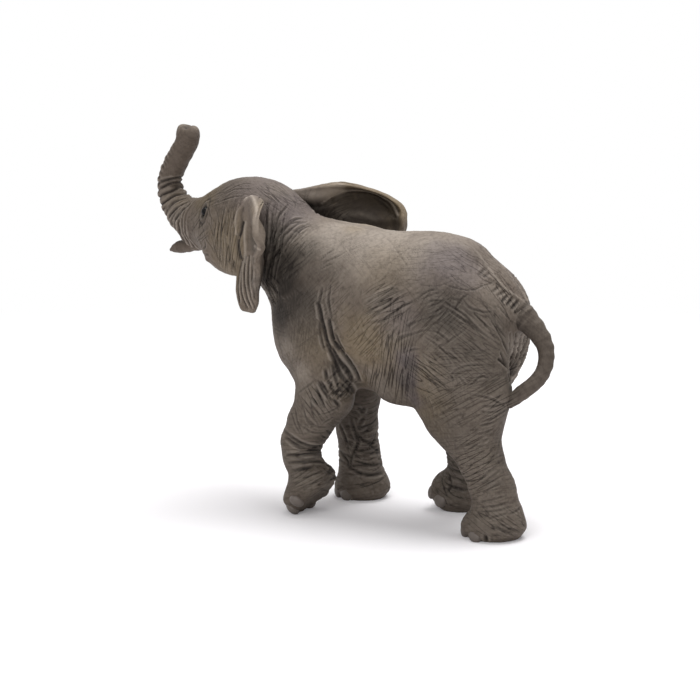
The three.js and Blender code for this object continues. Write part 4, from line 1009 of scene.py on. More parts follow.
def cut_wrinkles(cuts, patches):
    """Runs every cut along the skin from its starting place, bending a little."""
    at, way, turn, length, width, depth = (np.concatenate([patch[key] for patch in patches]) for key in
                                           ("at", "way", "turn", "length", "width", "depth"))
    bend = np.radians(rng.normal(0, 2.5, len(at)))
    n = unit(slope_of(skin, at))
    along = unit(way - (n * way).sum(1)[:, None] * n)
    along = along * np.cos(turn)[:, None] + np.cross(n, along) * np.sin(turn)[:, None]
    steps = np.maximum(length / CUT_STEP, 3).astype(int)
    order = np.argsort(-steps)
    at, along, bend, steps, width, depth = (each[order] for each in (at, along, bend, steps, width, depth))
    tracks = [[point] for point in at]
    for step in range(1, steps[0]):
        going = int((steps > step).sum())
        at, along, bend = at[:going], along[:going], bend[:going]
        at = at + CUT_STEP * along
        n = unit(slope_of(skin, at))
        at = at - np.clip(skin(at.T), -0.3, 0.3)[:, None] * n
        along = unit(along - (along * n).sum(1)[:, None] * n)
        along = along * np.cos(bend)[:, None] + np.cross(n, along) * np.sin(bend)[:, None]
        for track, point in zip(tracks, at):
            track.append(point)
    for track, each_width, each_depth in zip(tracks, width, depth):
        cuts.add(track, each_width, each_depth * taper(len(track)))


hatching = Cuts()
seeds = []
line_patches = []
for u, v, half_u, half_v, deep, slope, spread, length, spacing, full_width, full_depth in HATCHES:
    width = round(max(LEAST_HATCH_WIDTH, HATCH_WIDTH_SHARE * full_width), 2)
    depth = round(HATCH_DEPTH_SHARE * full_depth, 2)
    middle = look.near(u, v)
    sizes = (half_u * PIXEL_MM, half_v * PIXEL_MM, deep)
    way = slope_way(slope)
    family = min(LINE_FAMILIES, key=lambda each: abs((each[1] - slope + 90) % 180 - 90))[0]
    for side in (1, -1):
        line_patches.append((family, middle * (1, side, 1), sizes, np.clip((depth - 0.07) / 0.1, 0.15, 1.3)))
    seeds.append(wrinkle_seeds(middle, sizes, way, spread, length, spacing, width, depth))
    seeds.append(wrinkle_seeds(middle * MIRROR, sizes, way * MIRROR, spread, length, spacing * 1.1, width,
                               depth))
# A light wrinkle over all that the patches leave out: middle, half sizes and way on body, legs and head
BROAD_PATCHES = [((0, 0, 55), (60, 60, 60), (0.3, 0, 1)), ((5, 0, 20), (60, 30, 60), (1, 0.2, 0.15)),
                 ((52, 0, 78), (26, 26, 26), (0.8, 0, 0.5))]
for centre, sizes, way in BROAD_PATCHES:
    centre, way = np.array(centre, float), np.array(way, float)
    seeds.append(wrinkle_seeds(centre, sizes, way, 30, 3.0, 2.6, 0.27, 0.12))
cut_wrinkles(hatching, seeds)


# Grain of the skin
def lattice(cells, seed):
    """A settled pseudo-random number from 0 to 1 for each whole-number cell."""
    x, y, z = (cells[..., i].astype(np.uint64) for i in range(3))
    mixed = (x * np.uint64(73856093)) ^ (y * np.uint64(19349663)) ^ (z * np.uint64(83492791))
    mixed = mixed ^ np.uint64(seed)
    mixed = (mixed ^ (mixed >> np.uint64(13))) * np.uint64(1274126177)
    return ((mixed ^ (mixed >> np.uint64(16))) & np.uint64(0xFFFF)).astype(float) / 0xFFFF


def grain(points, size, seed=1):
    """Smooth noise from -1 to 1 with bumps of about the given size in millimetres."""
    at = points / size + 1000
    base = np.floor(at).astype(np.int64)
    t = at - base
    t = t * t * (3 - 2 * t)
    total = 0
    for dx in range(2):
        for dy in range(2):
            for dz in range(2):
                share = ((t[:, 0] if dx else 1 - t[:, 0]) * (t[:, 1] if dy else 1 - t[:, 1])
                         * (t[:, 2] if dz else 1 - t[:, 2]))
                total = total + share * lattice(base + np.array([dx, dy, dz]), seed)
    return 2 * total - 1


# Strokes on the left ear's face and on the right ear's back: pixels, half width in pixels, how dark and pale.
# The pale strokes are pale paint and painted highlight along the lit rims and crests, the widest on the right
# ear's rolled rim; the dark strokes are dark paint in the grooves and painted shade under that rim
EAR_STROKES = [
    ([(250, 194), (254, 201), (256.5, 209), (258.3, 219), (259.3, 228), (259.6, 236)], 1.8, 0, 1.0),
    ([(244, 200), (248, 196.5), (252, 195)], 1.3, 0, 0.7),
    ([(255, 246), (258, 248.5), (261, 249.5)], 1.0, 0, 0.8),
    ([(240, 202), (237, 211), (235.5, 222), (236, 234)], 1.0, 0, 0.6),
    ([(243, 208), (241, 216), (242, 223)], 1.4, 0.5, 0),
    ([(242, 222), (240.5, 231), (237.5, 240), (238, 250), (240, 258)], 1.8, 1.1, 0),
    ([(246, 222), (244.5, 235), (245.5, 250), (244.5, 262)], 1.2, 0, 0.6),
    ([(252, 225), (252, 240)], 1.2, 0.3, 0),
    ([(241, 262), (238.5, 276), (238, 290), (239.5, 302)], 0.7, 1.0, 0),
    ([(243, 258), (241, 268), (240.4, 282), (242, 296), (246.5, 307)], 0.7, 1.1, 0),
    ([(246, 256), (244.4, 266), (244, 280), (246.3, 296), (251, 308)], 0.7, 1.1, 0),
    ([(249, 256), (248, 270), (248.2, 284), (251, 298), (255, 308)], 0.7, 1.0, 0),
    ([(253, 258), (252.3, 272), (252.6, 286), (255, 299)], 0.7, 0.9, 0),
    ([(257, 262), (256, 275), (256.5, 286)], 0.7, 0.7, 0),
    ([(242, 262), (239.8, 276), (239.4, 290), (241, 302)], 0.6, 0, 0.8),
    ([(255, 258), (254.2, 274), (255, 290)], 0.6, 0, 0.7),
    ([(244.6, 258), (242.7, 268), (242.2, 281), (244, 296), (248.6, 307)], 0.6, 0, 0.9),
    ([(247.6, 257), (246.2, 268), (246, 281), (248.6, 296), (253, 308)], 0.6, 0, 0.9),
    ([(251, 256), (250.2, 270), (250.4, 284), (253, 298)], 0.6, 0, 0.9),
    ([(248, 236), (247.5, 250)], 0.8, 0.4, 0),
]
BACK_STROKES = [
    ([(298, 196), (312, 195), (326, 192), (340, 187)], 5.5, 0, 0.65),
    ([(306, 208), (322, 206.5), (334, 200)], 2.0, 1.2, 0),
    ([(334, 200), (350, 194), (372, 196), (388, 206), (394, 217)], 1.6, 1.0, 0),
    ([(322, 203), (332.5, 196.5), (348, 190.5), (372, 192.5), (391, 203), (398, 215)], 1.2, 0, 0.4),
    ([(330, 212), (345, 207), (362, 208), (380, 216)], 3.0, 0.5, 0),
    ([(345, 216), (360, 214), (376, 221)], 2.5, 0, 0.08),
]


def pixels_of(points):
    """Where points of the figure fall in the photograph."""
    offset = points - camera_at
    ahead = offset @ view_way
    across = np.stack([offset @ view_right, -(offset @ view_up)], 1)
    return PHOTO_CENTRE + FOCAL_PIXELS * across / ahead[:, None]


def stroke_ear(ear, strokes, first, last):
    """Cuts and ridges where they show on an ear's face or back, with their paint: the pale is partly painted
    highlight along the lit rims and crests, the dark partly painted shade under the right ear's rolled rim.
    They fade where the sheet turns edge-on.
    """
    half = len(ear.vertices) // 2
    part = slice(first * half, last * half)
    seen = pixels_of(ear.vertices[part])
    open_to_view = smoothstep(np.abs(ear.normals[part] @ view_way), 0.05, 0.3)
    for corners, width, dark, bright in strokes:
        line, _ = smooth_path([(u, v, 0) for u, v in corners], np.zeros(len(corners)), 8 * len(corners))
        gap = np.sqrt(((seen[:, None] - line[None, :, :2]) ** 2).sum(2).min(1)) / width
        soft = open_to_view * np.exp(-gap ** 2)
        ear.height[part] += (0.28 * bright - 0.42 * dark) * min(width, 1.3) * soft
        ear.ink[part] = np.maximum(ear.ink[part] * (1 - 0.9 * bright * soft), 1.2 * dark * soft)
        ear.edge[part] = np.maximum(ear.edge[part], 1.8 * bright * soft)


def nearest_of(places, curve):
    """For each place, which point of a curve is nearest."""
    return np.argmin((curve ** 2).sum(1)[None] - 2 * places @ curve.T, 1)


def path_and_run(points, radii, count):
    """A smooth path, and how far along it each of its points lies."""
    curve, _ = smooth_path(points, radii, count)
    return curve, np.concatenate([[0], np.cumsum(np.linalg.norm(np.diff(curve, axis=0), axis=1))])


RING_PITCH, RIB_PITCH = 1.55, 2.1


def ring_trunk(shape):
    """Rolls of skin with a deep valley between each two: all round the trunk's root, and further up on its
    outer side only."""
    curve, run = path_and_run(trunk_points, trunk_radii, 160)
    along = unit(np.gradient(curve, axis=0))
    near = np.flatnonzero((shape.vertices - curve[0]) @ HEAD_AHEAD > 0)
    places = shape.vertices[near]
    nearest = nearest_of(places, curve)
    arm = unit(places - curve[nearest])
    ahead = np.cross(HEAD_SIDEWAYS, along[nearest])
    ahead = unit(np.where((ahead @ HEAD_AHEAD)[:, None] > 0, ahead, -ahead))
    outer = (arm * ahead).sum(1)
    aside = (arm * HEAD_SIDEWAYS).sum(1)
    place = run[nearest] + 0.35 * grain(places, 2.2, 5) - 0.5 * outer
    roll = np.abs(np.sin(math.pi * place / RING_PITCH)) ** 0.6
    reach = smoothstep(run[nearest], 1.5, 6) * (1 - 0.85 * smoothstep(run[nearest], 27, 36))
    low_front = 0.4 + 0.6 * smoothstep(outer, -0.6, 0.5)
    front = low_front + (smoothstep(outer, -0.1, 0.7) - low_front) * smoothstep(run[nearest], 12, 20)
    strength = reach * front * (0.8 + 0.3 * np.abs(aside))
    shape.height[near] += 0.62 * strength * (roll - 0.62)
    shape.ink[near] += 1.5 * strength * (1 - roll) ** 1.2
    shape.edge[near] += 0.8 * strength * smoothstep(roll, 0.85, 1)


def rib_tail(shape):
    """Rounded ribs across the tail's root that fade out along it."""
    curve, run = path_and_run(tail_points, tail_radii, 120)
    nearest = nearest_of(shape.vertices, curve)
    place = run[nearest] + 0.3 * grain(shape.vertices, 2, 31)
    roll = np.abs(np.sin(math.pi * place / RIB_PITCH)) ** 0.7
    strength = 1 - 0.95 * smoothstep(run[nearest], 4, 12)
    shape.height += 0.4 * strength * (roll - 0.6)
    shape.ink += strength * (1 - roll) ** 1.5
    shape.edge += 0.5 * strength * smoothstep(roll, 0.9, 1)


def lump_up(shape, at, radius, height, ink=0.0, edge=0.0):
    """Raises or sinks a soft round patch."""
    gap = np.linalg.norm(shape.vertices - at, axis=1)
    soft = np.exp(-(gap / radius) ** 2)
    shape.height += height * soft
    shape.ink += ink * soft
    shape.edge += edge * soft


# The trunk's end, a finger before and behind and two nostrils in the hollow between them: which way and how
# far out, radius, height, darkening and edge. The darkening in the nostrils and the hollow is painted shade
TIP_LUMPS = [
    (HEAD_AHEAD, 2.9, 1.5, 0.9, 0, 0.4), (HEAD_AHEAD, -2.5, 1.7, 0.9, 0, 0.4),
    (HEAD_AHEAD, 0.5, 1.1, -1.1, 0.9, 0), (HEAD_SIDEWAYS, 1.5, 0.8, -0.9, 1, 0),
    (HEAD_SIDEWAYS, -1.5, 0.8, -0.9, 1, 0),
]


def open_tip(shape):
    """Shapes the trunk's end."""
    tip, before = trunk_points[-1], trunk_points[-2]
    along = unit(tip - before)
    crown = tip + 0.9 * trunk_radii[-1] * along
    for way, out, radius, height, ink, edge in TIP_LUMPS:
        lump_up(shape, crown + out * way - 0.12 * out * out * along, radius, height, ink, edge)


# Soft swells and hollows of the body: pixel, radius and height in mm
SWELLS = [
    (354, 233, 3.5, 0.8), (484, 247, 4.5, 0.9), (523, 281, 5, -1.0), (515, 424, 6, -1.9),
    (432, 428, 5, 0.8), (203, 263, 3.5, -0.9), (441, 458, 4, 0.8), (407, 210, 3, -0.8),
    (277, 331, 5, 0.8), (452, 312, 6.5, -0.9), (478, 300, 5, 0.4), (455, 345, 9, 0.5),
    (420, 330, 5, 0.3), (410, 372, 4, -0.9), (404, 392, 3.5, -0.8), (345, 365, 4.5, -0.7),
    (328, 340, 5, 0.5), (300, 330, 8, 0.5), (283, 268, 6, -0.9), (300, 250, 5, 0.3),
    (360, 350, 9, 0.5), (385, 290, 8, -0.4), (510, 330, 3, -0.6), (250, 230, 4, -0.6),
    (230, 262, 5, 0.4), (206, 252, 1.1, 0.7), (202, 256, 1.0, 0.5), (345, 244, 8, 0.4),
    (505, 262, 5, -0.3),
]
swells = []
for u, v, radius, height in SWELLS:
    at = look.near(u, v)
    swells.append((at, radius, height))
    swells.append((to_skin(np.array([at * MIRROR]))[0], radius, height))

EYE_PIXEL = (204, 211)
EYE_RADIUS, EYE_DEPTH = 1.35, 0.62
left_eye = look.near(*EYE_PIXEL)
eye_places = [left_eye, mirror_head(left_eye)]


def lid_eyes(shape):
    """A slit with a thick lid above and below, and a fold behind it."""
    for place in eye_places:
        out = unit(slope_of(skin, place[None], 0.4))[0]
        upright = unit(np.array([0, 0, 1.0]) - out[2] * out)
        across = np.cross(upright, out)
        offset = shape.vertices - to_skin(place[None])[0]
        u, v = offset @ upright / 2.2, offset @ across / 1.3
        depth = np.abs(offset @ out) < 4
        reach = np.sqrt(u * u + v * v)
        shape.height += depth * (0.3 * np.exp(-((reach - 1.2) / 0.25) ** 2)
                                 - 1.3 * np.exp(-(reach / 0.8) ** 4)
                                 - 0.3 * np.exp(-((reach - 1.65) / 0.22) ** 2))
        shape.ink += depth * (2.5 * np.exp(-(reach / 0.95) ** 4)
                              + 0.8 * np.exp(-((reach - 1.65) / 0.25) ** 2))
        shape.edge += depth * 0.5 * np.exp(-((reach - 1.05) / 0.2) ** 2)


# Airbrushed patches of each colour: pixel, radius in mm and strength. The dark patches behind the ear, in the
# armpits and under the belly and haunch are dark paint and painted shade; the pale patches on the throat
# folds and the buttock pleats are pale paint and painted highlight
PATCHES = {
    "pale": [
        (345, 238, 10, 0.9), (380, 245, 12, 0.9), (415, 250, 10, 0.7), (318, 240, 7, 0.6), (440, 240, 9, 0.4),
        (300, 228, 5, 0.3), (262, 290, 2, 1.0), (270, 303, 2, 0.8), (520, 345, 4, 0.9), (520, 372, 4, 0.7),
        (288, 345, 3, 0.4), (302, 372, 3, 0.5)],
    "ochre": [
        (365, 345, 9, 0.8), (355, 380, 6, 0.6), (385, 350, 8, 0.5), (415, 385, 9, 0.6), (228, 240, 8, 0.9),
        (230, 262, 7, 0.8), (205, 192, 5, 0.8), (180, 200, 4, 0.4), (320, 350, 7, 0.35), (425, 400, 8, 0.5),
        (385, 270, 8, 0.35), (340, 187, 8, 0.7), (372, 186, 6, 0.7), (400, 205, 6, 0.9), (354, 231, 3, 0.5)],
    "violet": [
        (450, 262, 8, 0.7), (462, 275, 6, 0.5), (406, 362, 4.5, 1.0), (408, 380, 4.5, 1.0),
        (412, 396, 4, 0.8), (282, 215, 8, 0.6), (290, 205, 6, 0.5), (255, 190, 8, 0.4), (400, 320, 6, 0.4)],
    "dark": [
        (284, 268, 8, 1.0), (292, 296, 8, 0.85), (276, 285, 6, 1.0), (300, 258, 6, 0.6), (272, 245, 6, 1.0),
        (281, 312, 6, 1.0), (278, 262, 6, 1.0), (271, 268, 4, 1.0), (270, 275, 5, 1.0), (284, 285, 6, 1.0),
        (302, 280, 8, 0.5), (318, 272, 7, 0.3), (304, 310, 8, 0.4), (385, 396, 7, 0.4), (404, 384, 3.5, 0.6),
        (408, 366, 3, 0.55), (205, 200, 5, 0.4), (228, 178, 9, 0.22), (222, 190, 8, 0.3), (395, 392, 8, 0.35),
        (442, 420, 9, 0.3), (344, 370, 4, 0.9), (350, 385, 3.5, 0.8), (446, 312, 7, 0.75), (408, 385, 4, 0.5),
        (470, 350, 8, 0.3), (316, 300, 5, 0.4), (360, 420, 8, 0.5), (455, 470, 8, 0.55)],
}
TAIL_DARKNESS = 0.42
patches = []
for layer, rows in PATCHES.items():
    for u, v, radius, strength in rows:
        at = look.near(u, v)
        patches.append((layer, at, radius, strength))
        patches.append((layer, at * MIRROR, radius, strength))


def airbrush_and_painted_light_layers(points):
    """How strongly each patch colour shows at each point: airbrushed paint, with painted shade in some dark
    patches and painted highlight in some pale ones.
    """
    layers = {layer: np.zeros(len(points)) for layer in PATCHES}
    ragged = 1 + 0.25 * grain(points, 3.5, 11) + 0.12 * grain(points, 1.3, 12)
    for layer, at, radius, strength in patches:
        gap = np.linalg.norm(points - at, axis=1) * ragged
        layers[layer] = np.maximum(layers[layer], strength * np.exp(-(gap / radius) ** 3))
    return layers


def line_layers(points):
    """How strongly each family of fine lines shows at each point."""
    layers = {name: np.zeros(len(points)) for name, _, _, _ in LINE_FAMILIES}
    ragged = 1 + 0.2 * grain(points, 4, 21)
    for family, at, sizes, strength in line_patches:
        offset = points - at
        reach = np.sqrt(((offset @ view_right) / sizes[0]) ** 2 + ((offset @ view_up) / sizes[1]) ** 2
                        + ((offset @ view_way) / (1.4 * sizes[2])) ** 2) * ragged
        layers[family] = np.maximum(layers[family], strength * np.exp(-(reach / 0.95) ** 4))
    legs_share = 1 - smoothstep(points[:, 2], 24, 34)
    layers["lines_level"] = np.maximum(layers["lines_level"], 0.3 * legs_share)
    for family, size, seed in (("lines_rising", 6, 22), ("lines_falling", 7, 23), ("lines_upright", 8, 24)):
        layers[family] = np.maximum(layers[family], 0.08 + 0.12 * grain(points, size, seed))
    return layers


def hollow_shade(points, normals):
    """How far the skin round a point closes in over it, from 0 in the open to 1."""
    total = 0
    for reach, share in ((2.5, 0.5), (6, 0.5)):
        out = points + reach * normals
        total = total + share * np.clip(1 - skin(out.T) / reach, 0, 1)
    return np.clip(total, 0, 1)


# How far a form may be sunk and raised, in mm
MOST_SUNK, MOST_RAISED = -1.9, 0.9
named = {form.name: form for form in forms}
stroke_ear(named["left_ear"], EAR_STROKES, 0, 1)
stroke_ear(named["right_ear"], BACK_STROKES, 1, 2)
for form in forms:
    if not form.name.endswith(("_ear", "tail", "lip")):
        for at, radius, height in swells:
            lump_up(form, at, radius, height)
        creases.carve(form)
        hatching.carve(form)
    if form.name in ("trunk", "head"):
        ring_trunk(form)
    if form.name.endswith("leg"):
        low = 1 - smoothstep(form.vertices[:, 2], 1.5, 7)
        form.height += 0.5 * low * smoothstep(form.normals[:, 2], -0.6, -0.1)
    if form.name == "trunk":
        open_tip(form)
    # Painted shade darkens the lip where it goes in under the muzzle, in the gap of the mouth
    if form.name == "lower_lip":
        form.ink += 1.1 * (1 - smoothstep(form.vertices @ HEAD_AHEAD, 66.2, 68))
    if form.name == "tail":
        rib_tail(form)
    if form.name == "head":
        lid_eyes(form)
    # The right ear is darkened all over and mottled: dark paint and painted shade
    if form.name == "right_ear":
        form.height += 0.16 * grain(form.vertices, 2.6, 41)
        form.ink = np.clip(form.ink * (1 + 0.35 * grain(form.vertices, 1.6, 42)) + 0.1, 0, 1)
    form.height += 0.07 * grain(form.vertices, 2.4, 2) + 0.035 * grain(form.vertices, 0.9, 3)
    form.height = np.clip(form.height, MOST_SUNK, MOST_RAISED)
    form.shade = hollow_shade(form.vertices, form.normals)
    form.layers = {**airbrush_and_painted_light_layers(form.vertices), **line_layers(form.vertices)}
    if form.name == "tail":
        form.layers["dark"] = form.layers["dark"] + TAIL_DARKNESS
    form.vertices = form.vertices + form.normals * form.height[:, None]
    form.vertices[:, 2] = np.maximum(form.vertices[:, 2], 0)


# Meshes
def put(name, data):
    """A new object in the scene."""
    made = bpy.data.objects.new(name, data)
    bpy.context.scene.collection.objects.link(made)
    return made


def mesh_of(name, vertices, quads, layers):
    """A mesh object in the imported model's frame, with its paint layers as attributes."""
    mesh = bpy.data.meshes.new(name)
    places = to_row(vertices)
    mesh.vertices.add(len(places))
    mesh.vertices.foreach_set("co", places.astype(np.float32).ravel())
    mesh.loops.add(4 * len(quads))
    mesh.loops.foreach_set("vertex_index", np.ascontiguousarray(quads, np.int32).ravel())
    mesh.polygons.add(len(quads))
    mesh.polygons.foreach_set("loop_start", np.arange(0, 4 * len(quads), 4, dtype=np.int32))
    mesh.polygons.foreach_set("use_smooth", np.ones(len(quads), bool))
    mesh.update(calc_edges=True)
    mesh.validate()
    for layer, values in layers.items():
        attribute = mesh.attributes.new(layer, "FLOAT", "POINT")
        attribute.data.foreach_set("value", np.asarray(values, np.float32))
    return put(name, mesh)


# Materials
def colour(code):
    """A colour written as sRGB hex, turned to linear."""
    parts = [int(code[i:i + 2], 16) / 255 for i in (1, 3, 5)]
    return tuple(c / 12.92 if c <= 0.04045 else ((c + 0.055) / 1.055) ** 2.4 for c in parts) + (1,)


def add(tree, kind, sockets=None, **settings):
    """Adds a node with its settings, and fills or links its sockets."""
    made = tree.nodes.new(kind)
    for name, value in settings.items():
        setattr(made, name, value)
    for key, value in (sockets or {}).items():
        if isinstance(value, bpy.types.NodeSocket):
            tree.links.new(value, made.inputs[key])
        else:
            made.inputs[key].default_value = value
    return made


def tint(tree, factor, under, over):
    """Lays one colour over another."""
    sockets = {0: factor, 6: under, 7: over}
    return add(tree, "ShaderNodeMix", sockets, data_type="RGBA").outputs[2]


def maths(tree, operation, *values, use_clamp=False):
    sockets = dict(enumerate(values))
    return add(tree, "ShaderNodeMath", sockets, operation=operation, use_clamp=use_clamp).outputs[0]


def times(tree, value, share):
    return maths(tree, "MULTIPLY", value, share, use_clamp=True)


def plus(tree, a, b):
    return maths(tree, "ADD", a, b, use_clamp=True)


def remap(tree, value, low, high, **settings):
    """Reads the range from low to high as 0 to 1."""
    sockets = {"Value": value, "From Min": low, "From Max": high}
    return add(tree, "ShaderNodeMapRange", sockets, **settings).outputs[0]


def noise(tree, place, size, detail):
    """Cloudy noise with bumps of a size in metres."""
    sockets = {"Vector": place, "Scale": 1 / size, "Detail": detail}
    return add(tree, "ShaderNodeTexNoise", sockets).outputs["Fac"]


def paint_layer(tree, name):
    return add(tree, "ShaderNodeAttribute", attribute_name=name).outputs["Fac"]


def new_material(name):
    made = bpy.data.materials.new(name)
    made.use_nodes = True
    tree = made.node_tree
    tree.nodes.clear()
    out = add(tree, "ShaderNodeOutputMaterial")
    place = add(tree, "ShaderNodeTexCoord").outputs["Object"]
    return made, tree, out, place


def paint_surface(tree, out, base, roughness, normal, specular):
    shader = add(tree, "ShaderNodeBsdfPrincipled", {
        "Base Color": base, "Roughness": roughness, "Normal": normal, "IOR": 1.5,
        "Specular IOR Level": specular})
    tree.links.new(shader.outputs[0], out.inputs["Surface"])


def skin_lines(tree, place):
    """Fine crossing wrinkles: thin contours of a noise that is drawn out along each family's slope. The two
    sides of the body mirror each other. Gives the wrinkles and the crests beside them."""
    parts = add(tree, "ShaderNodeSeparateXYZ", {0: place}).outputs
    aside = maths(tree, "SUBTRACT", parts["Y"], SHIFT[1] * METRE)
    one_side = maths(tree, "ABSOLUTE", aside)
    folded = add(tree, "ShaderNodeCombineXYZ", {0: parts["X"], 1: one_side, 2: parts["Z"]}).outputs[0]
    lines, crests = None, None
    for name, slope, length, gap in LINE_FAMILIES:
        along = slope_way(slope)
        across = np.cross(view_way, along)
        turn = Matrix((along, across, np.cross(along, across))).transposed().to_euler()
        drawn = add(tree, "ShaderNodeMapping", {
            "Vector": folded, "Rotation": turn, "Scale": (length * METRE, gap * METRE, 4 * length * METRE)},
            vector_type="TEXTURE").outputs[0]
        off = maths(tree, "ABSOLUTE", maths(tree, "SUBTRACT", noise(tree, drawn, 1.0, 0.0), 0.5))
        line = remap(tree, off, 0.045, 0.0)
        crest = remap(tree, off, 0.05, 0.1)
        share = paint_layer(tree, name)
        line, crest = times(tree, line, share), times(tree, crest, share)
        lines = line if lines is None else plus(tree, lines, line)
        crests = crest if crests is None else plus(tree, crests, crest)
    return lines, crests


# Patch colours: layer, share laid on and colour; the dark is partly painted shade, the pale partly painted
# highlight
AIRBRUSH_AND_PAINTED_LIGHT = [("pale", 0.85, "#a0968b"), ("ochre", 0.7, "#7a6a4e"), ("violet", 0.62, "#544c58"),
            ("dark", 0.94, "#151210")]


def painted_vinyl(name, light, middle):
    """Moulded vinyl under matt acrylic: a mottled spray coat, a dark coat washed into the creases, a dry
    brush that catches the raised skin, and airbrushed patches. Painted shade darkens the hollows, parts of
    the dark patches, the right ear, the nostrils and the gap of the mouth; painted highlight lightens parts
    of the pale patches and the ears' lit rims. It looks dry and soft, with a weak broad sheen."""
    made, tree, out, place = new_material(name)
    mottle = noise(tree, place, 0.009, 3.0)
    speck = noise(tree, place, 0.0011, 4.0)
    pebble = add(tree, "ShaderNodeTexVoronoi", {"Vector": place, "Scale": 1 / 0.0007},
                 feature="F1").outputs["Distance"]
    lines, crests = skin_lines(tree, place)
    coat = tint(tree, mottle, colour(middle), colour(light))
    for layer, share, code in AIRBRUSH_AND_PAINTED_LIGHT:
        coat = tint(tree, times(tree, paint_layer(tree, layer), share), coat, colour(code))
    stain = remap(tree, speck, 0.46, 0.66)
    coat = tint(tree, times(tree, stain, 0.22), coat, colour("#2a2421"))
    coat = tint(tree, times(tree, paint_layer(tree, "shade"), 0.55), coat, colour("#2a2421"))
    # Dark settles in the creases and the eye slits, and is painted shade in the right ear's hollow, the
    # nostrils and the gap of the mouth
    coat = tint(tree, times(tree, paint_layer(tree, "ink"), 0.8), coat, colour("#1e1917"))
    coat = tint(tree, times(tree, lines, 0.78), coat, colour("#211c1a"))
    coat = tint(tree, times(tree, crests, 0.11), coat, colour("#b5aa9d"))
    coat = tint(tree, times(tree, paint_layer(tree, "edge"), 0.42), coat, colour("#b9aea2"))
    rough = add(tree, "ShaderNodeMapRange", {"Value": speck, "To Min": 0.55, "To Max": 0.75}).outputs[0]
    grainy = maths(tree, "ADD", pebble, speck)
    fine = add(tree, "ShaderNodeBump", {"Height": grainy, "Strength": 0.35, "Distance": 0.00012}).outputs[0]
    bump = add(tree, "ShaderNodeBump",
               {"Height": lines, "Strength": 1.0, "Distance": 0.00025, "Normal": fine},
               invert=True).outputs[0]
    paint_surface(tree, out, coat, rough, bump, 0.14)
    return made


def plain_paint(name, light, dark, size, roughness, specular):
    """One smooth coat of paint, a little uneven: satin on the nails, gloss on the eyes."""
    made, tree, out, place = new_material(name)
    mottle = noise(tree, place, size, 3.0)
    bump = add(tree, "ShaderNodeBump", {"Height": mottle, "Strength": 0.1, "Distance": 0.0001}).outputs[0]
    paint_surface(tree, out, tint(tree, mottle, colour(dark), colour(light)), roughness, bump, specular)
    return made


# The hides: light and middle colour of the coat, and the mouldings that wear it
HIDES = {
    "hide_body": ("#756a60", "#5e544b", ["torso", "tail"]),
    "hide_head": ("#72675d", "#5e544b", ["head"]),
    "hide_ears": ("#7d7165", "#5d5349", ["left_ear", "right_ear"]),
    "hide_trunk": ("#675c52", "#50463e", ["trunk", "lower_lip"]),
    "hide_legs": ("#6c6258", "#564d45", [leg.name for leg in legs]),
}
coats = {}
for slot, (light, middle, wearers) in HIDES.items():
    coat = painted_vinyl(slot + "_matt_painted_vinyl", light, middle)
    for wearer in wearers:
        coats[wearer] = (slot, coat)
nail_paint = plain_paint("nail_satin_painted_vinyl", "#746b64", "#625a54", 0.0015, 0.5, 0.45)
eye_paint = plain_paint("eye_gloss_black_enamel", "#0d0b0a", "#070606", 0.001, 0.16, 0.12)


def paper_floor():
    """Matt white paper. Seen directly it fades to plain white away from the figure, and keeps its shadow
    near it."""
    made, tree, out, place = new_material("floor_matt_white_paper")
    apart = add(tree, "ShaderNodeVectorMath", {0: place}, operation="LENGTH").outputs["Value"]
    far = remap(tree, apart, 0.12, 0.34, interpolation_type="SMOOTHSTEP")
    seen = add(tree, "ShaderNodeLightPath").outputs["Is Camera Ray"]
    paper = add(tree, "ShaderNodeBsdfDiffuse", {"Color": colour("#f4f3f5"), "Roughness": 0.5}).outputs[0]
    lift = add(tree, "ShaderNodeEmission",
               {"Color": colour("#fbfaff"), "Strength": times(tree, seen, 0.1)}).outputs[0]
    near = add(tree, "ShaderNodeAddShader", {0: paper, 1: lift}).outputs[0]
    white = add(tree, "ShaderNodeEmission", {"Color": (1, 1, 1, 1), "Strength": 1.0}).outputs[0]
    both = add(tree, "ShaderNodeMixShader", {0: times(tree, seen, far), 1: near, 2: white}).outputs[0]
    tree.links.new(both, out.inputs["Surface"])
    return made


floor_paint = paper_floor()


# The eleven mouldings
def settle(piece, slot, material):
    """Gives a piece its material and its body; the slot is not used."""
    piece.data.materials.append(material)
    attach(piece, "root")


for form in forms:
    layers = dict(form.layers, ink=np.clip(form.ink, 0, 1.3), edge=np.clip(form.edge, 0, 1),
                  shade=form.shade)
    piece = mesh_of(form.name + "_hide", form.vertices, form.quads, layers)
    settle(piece, *coats[form.name])
    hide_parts(form.name)


# Nails
NAIL_WIDTH, NAIL_HEIGHT, NAIL_THICKNESS = 4.2, 4.2, 1.3
NAIL_SPREAD, NAIL_SEAT, NAIL_DROP = 150.0, 0.9, 0.28


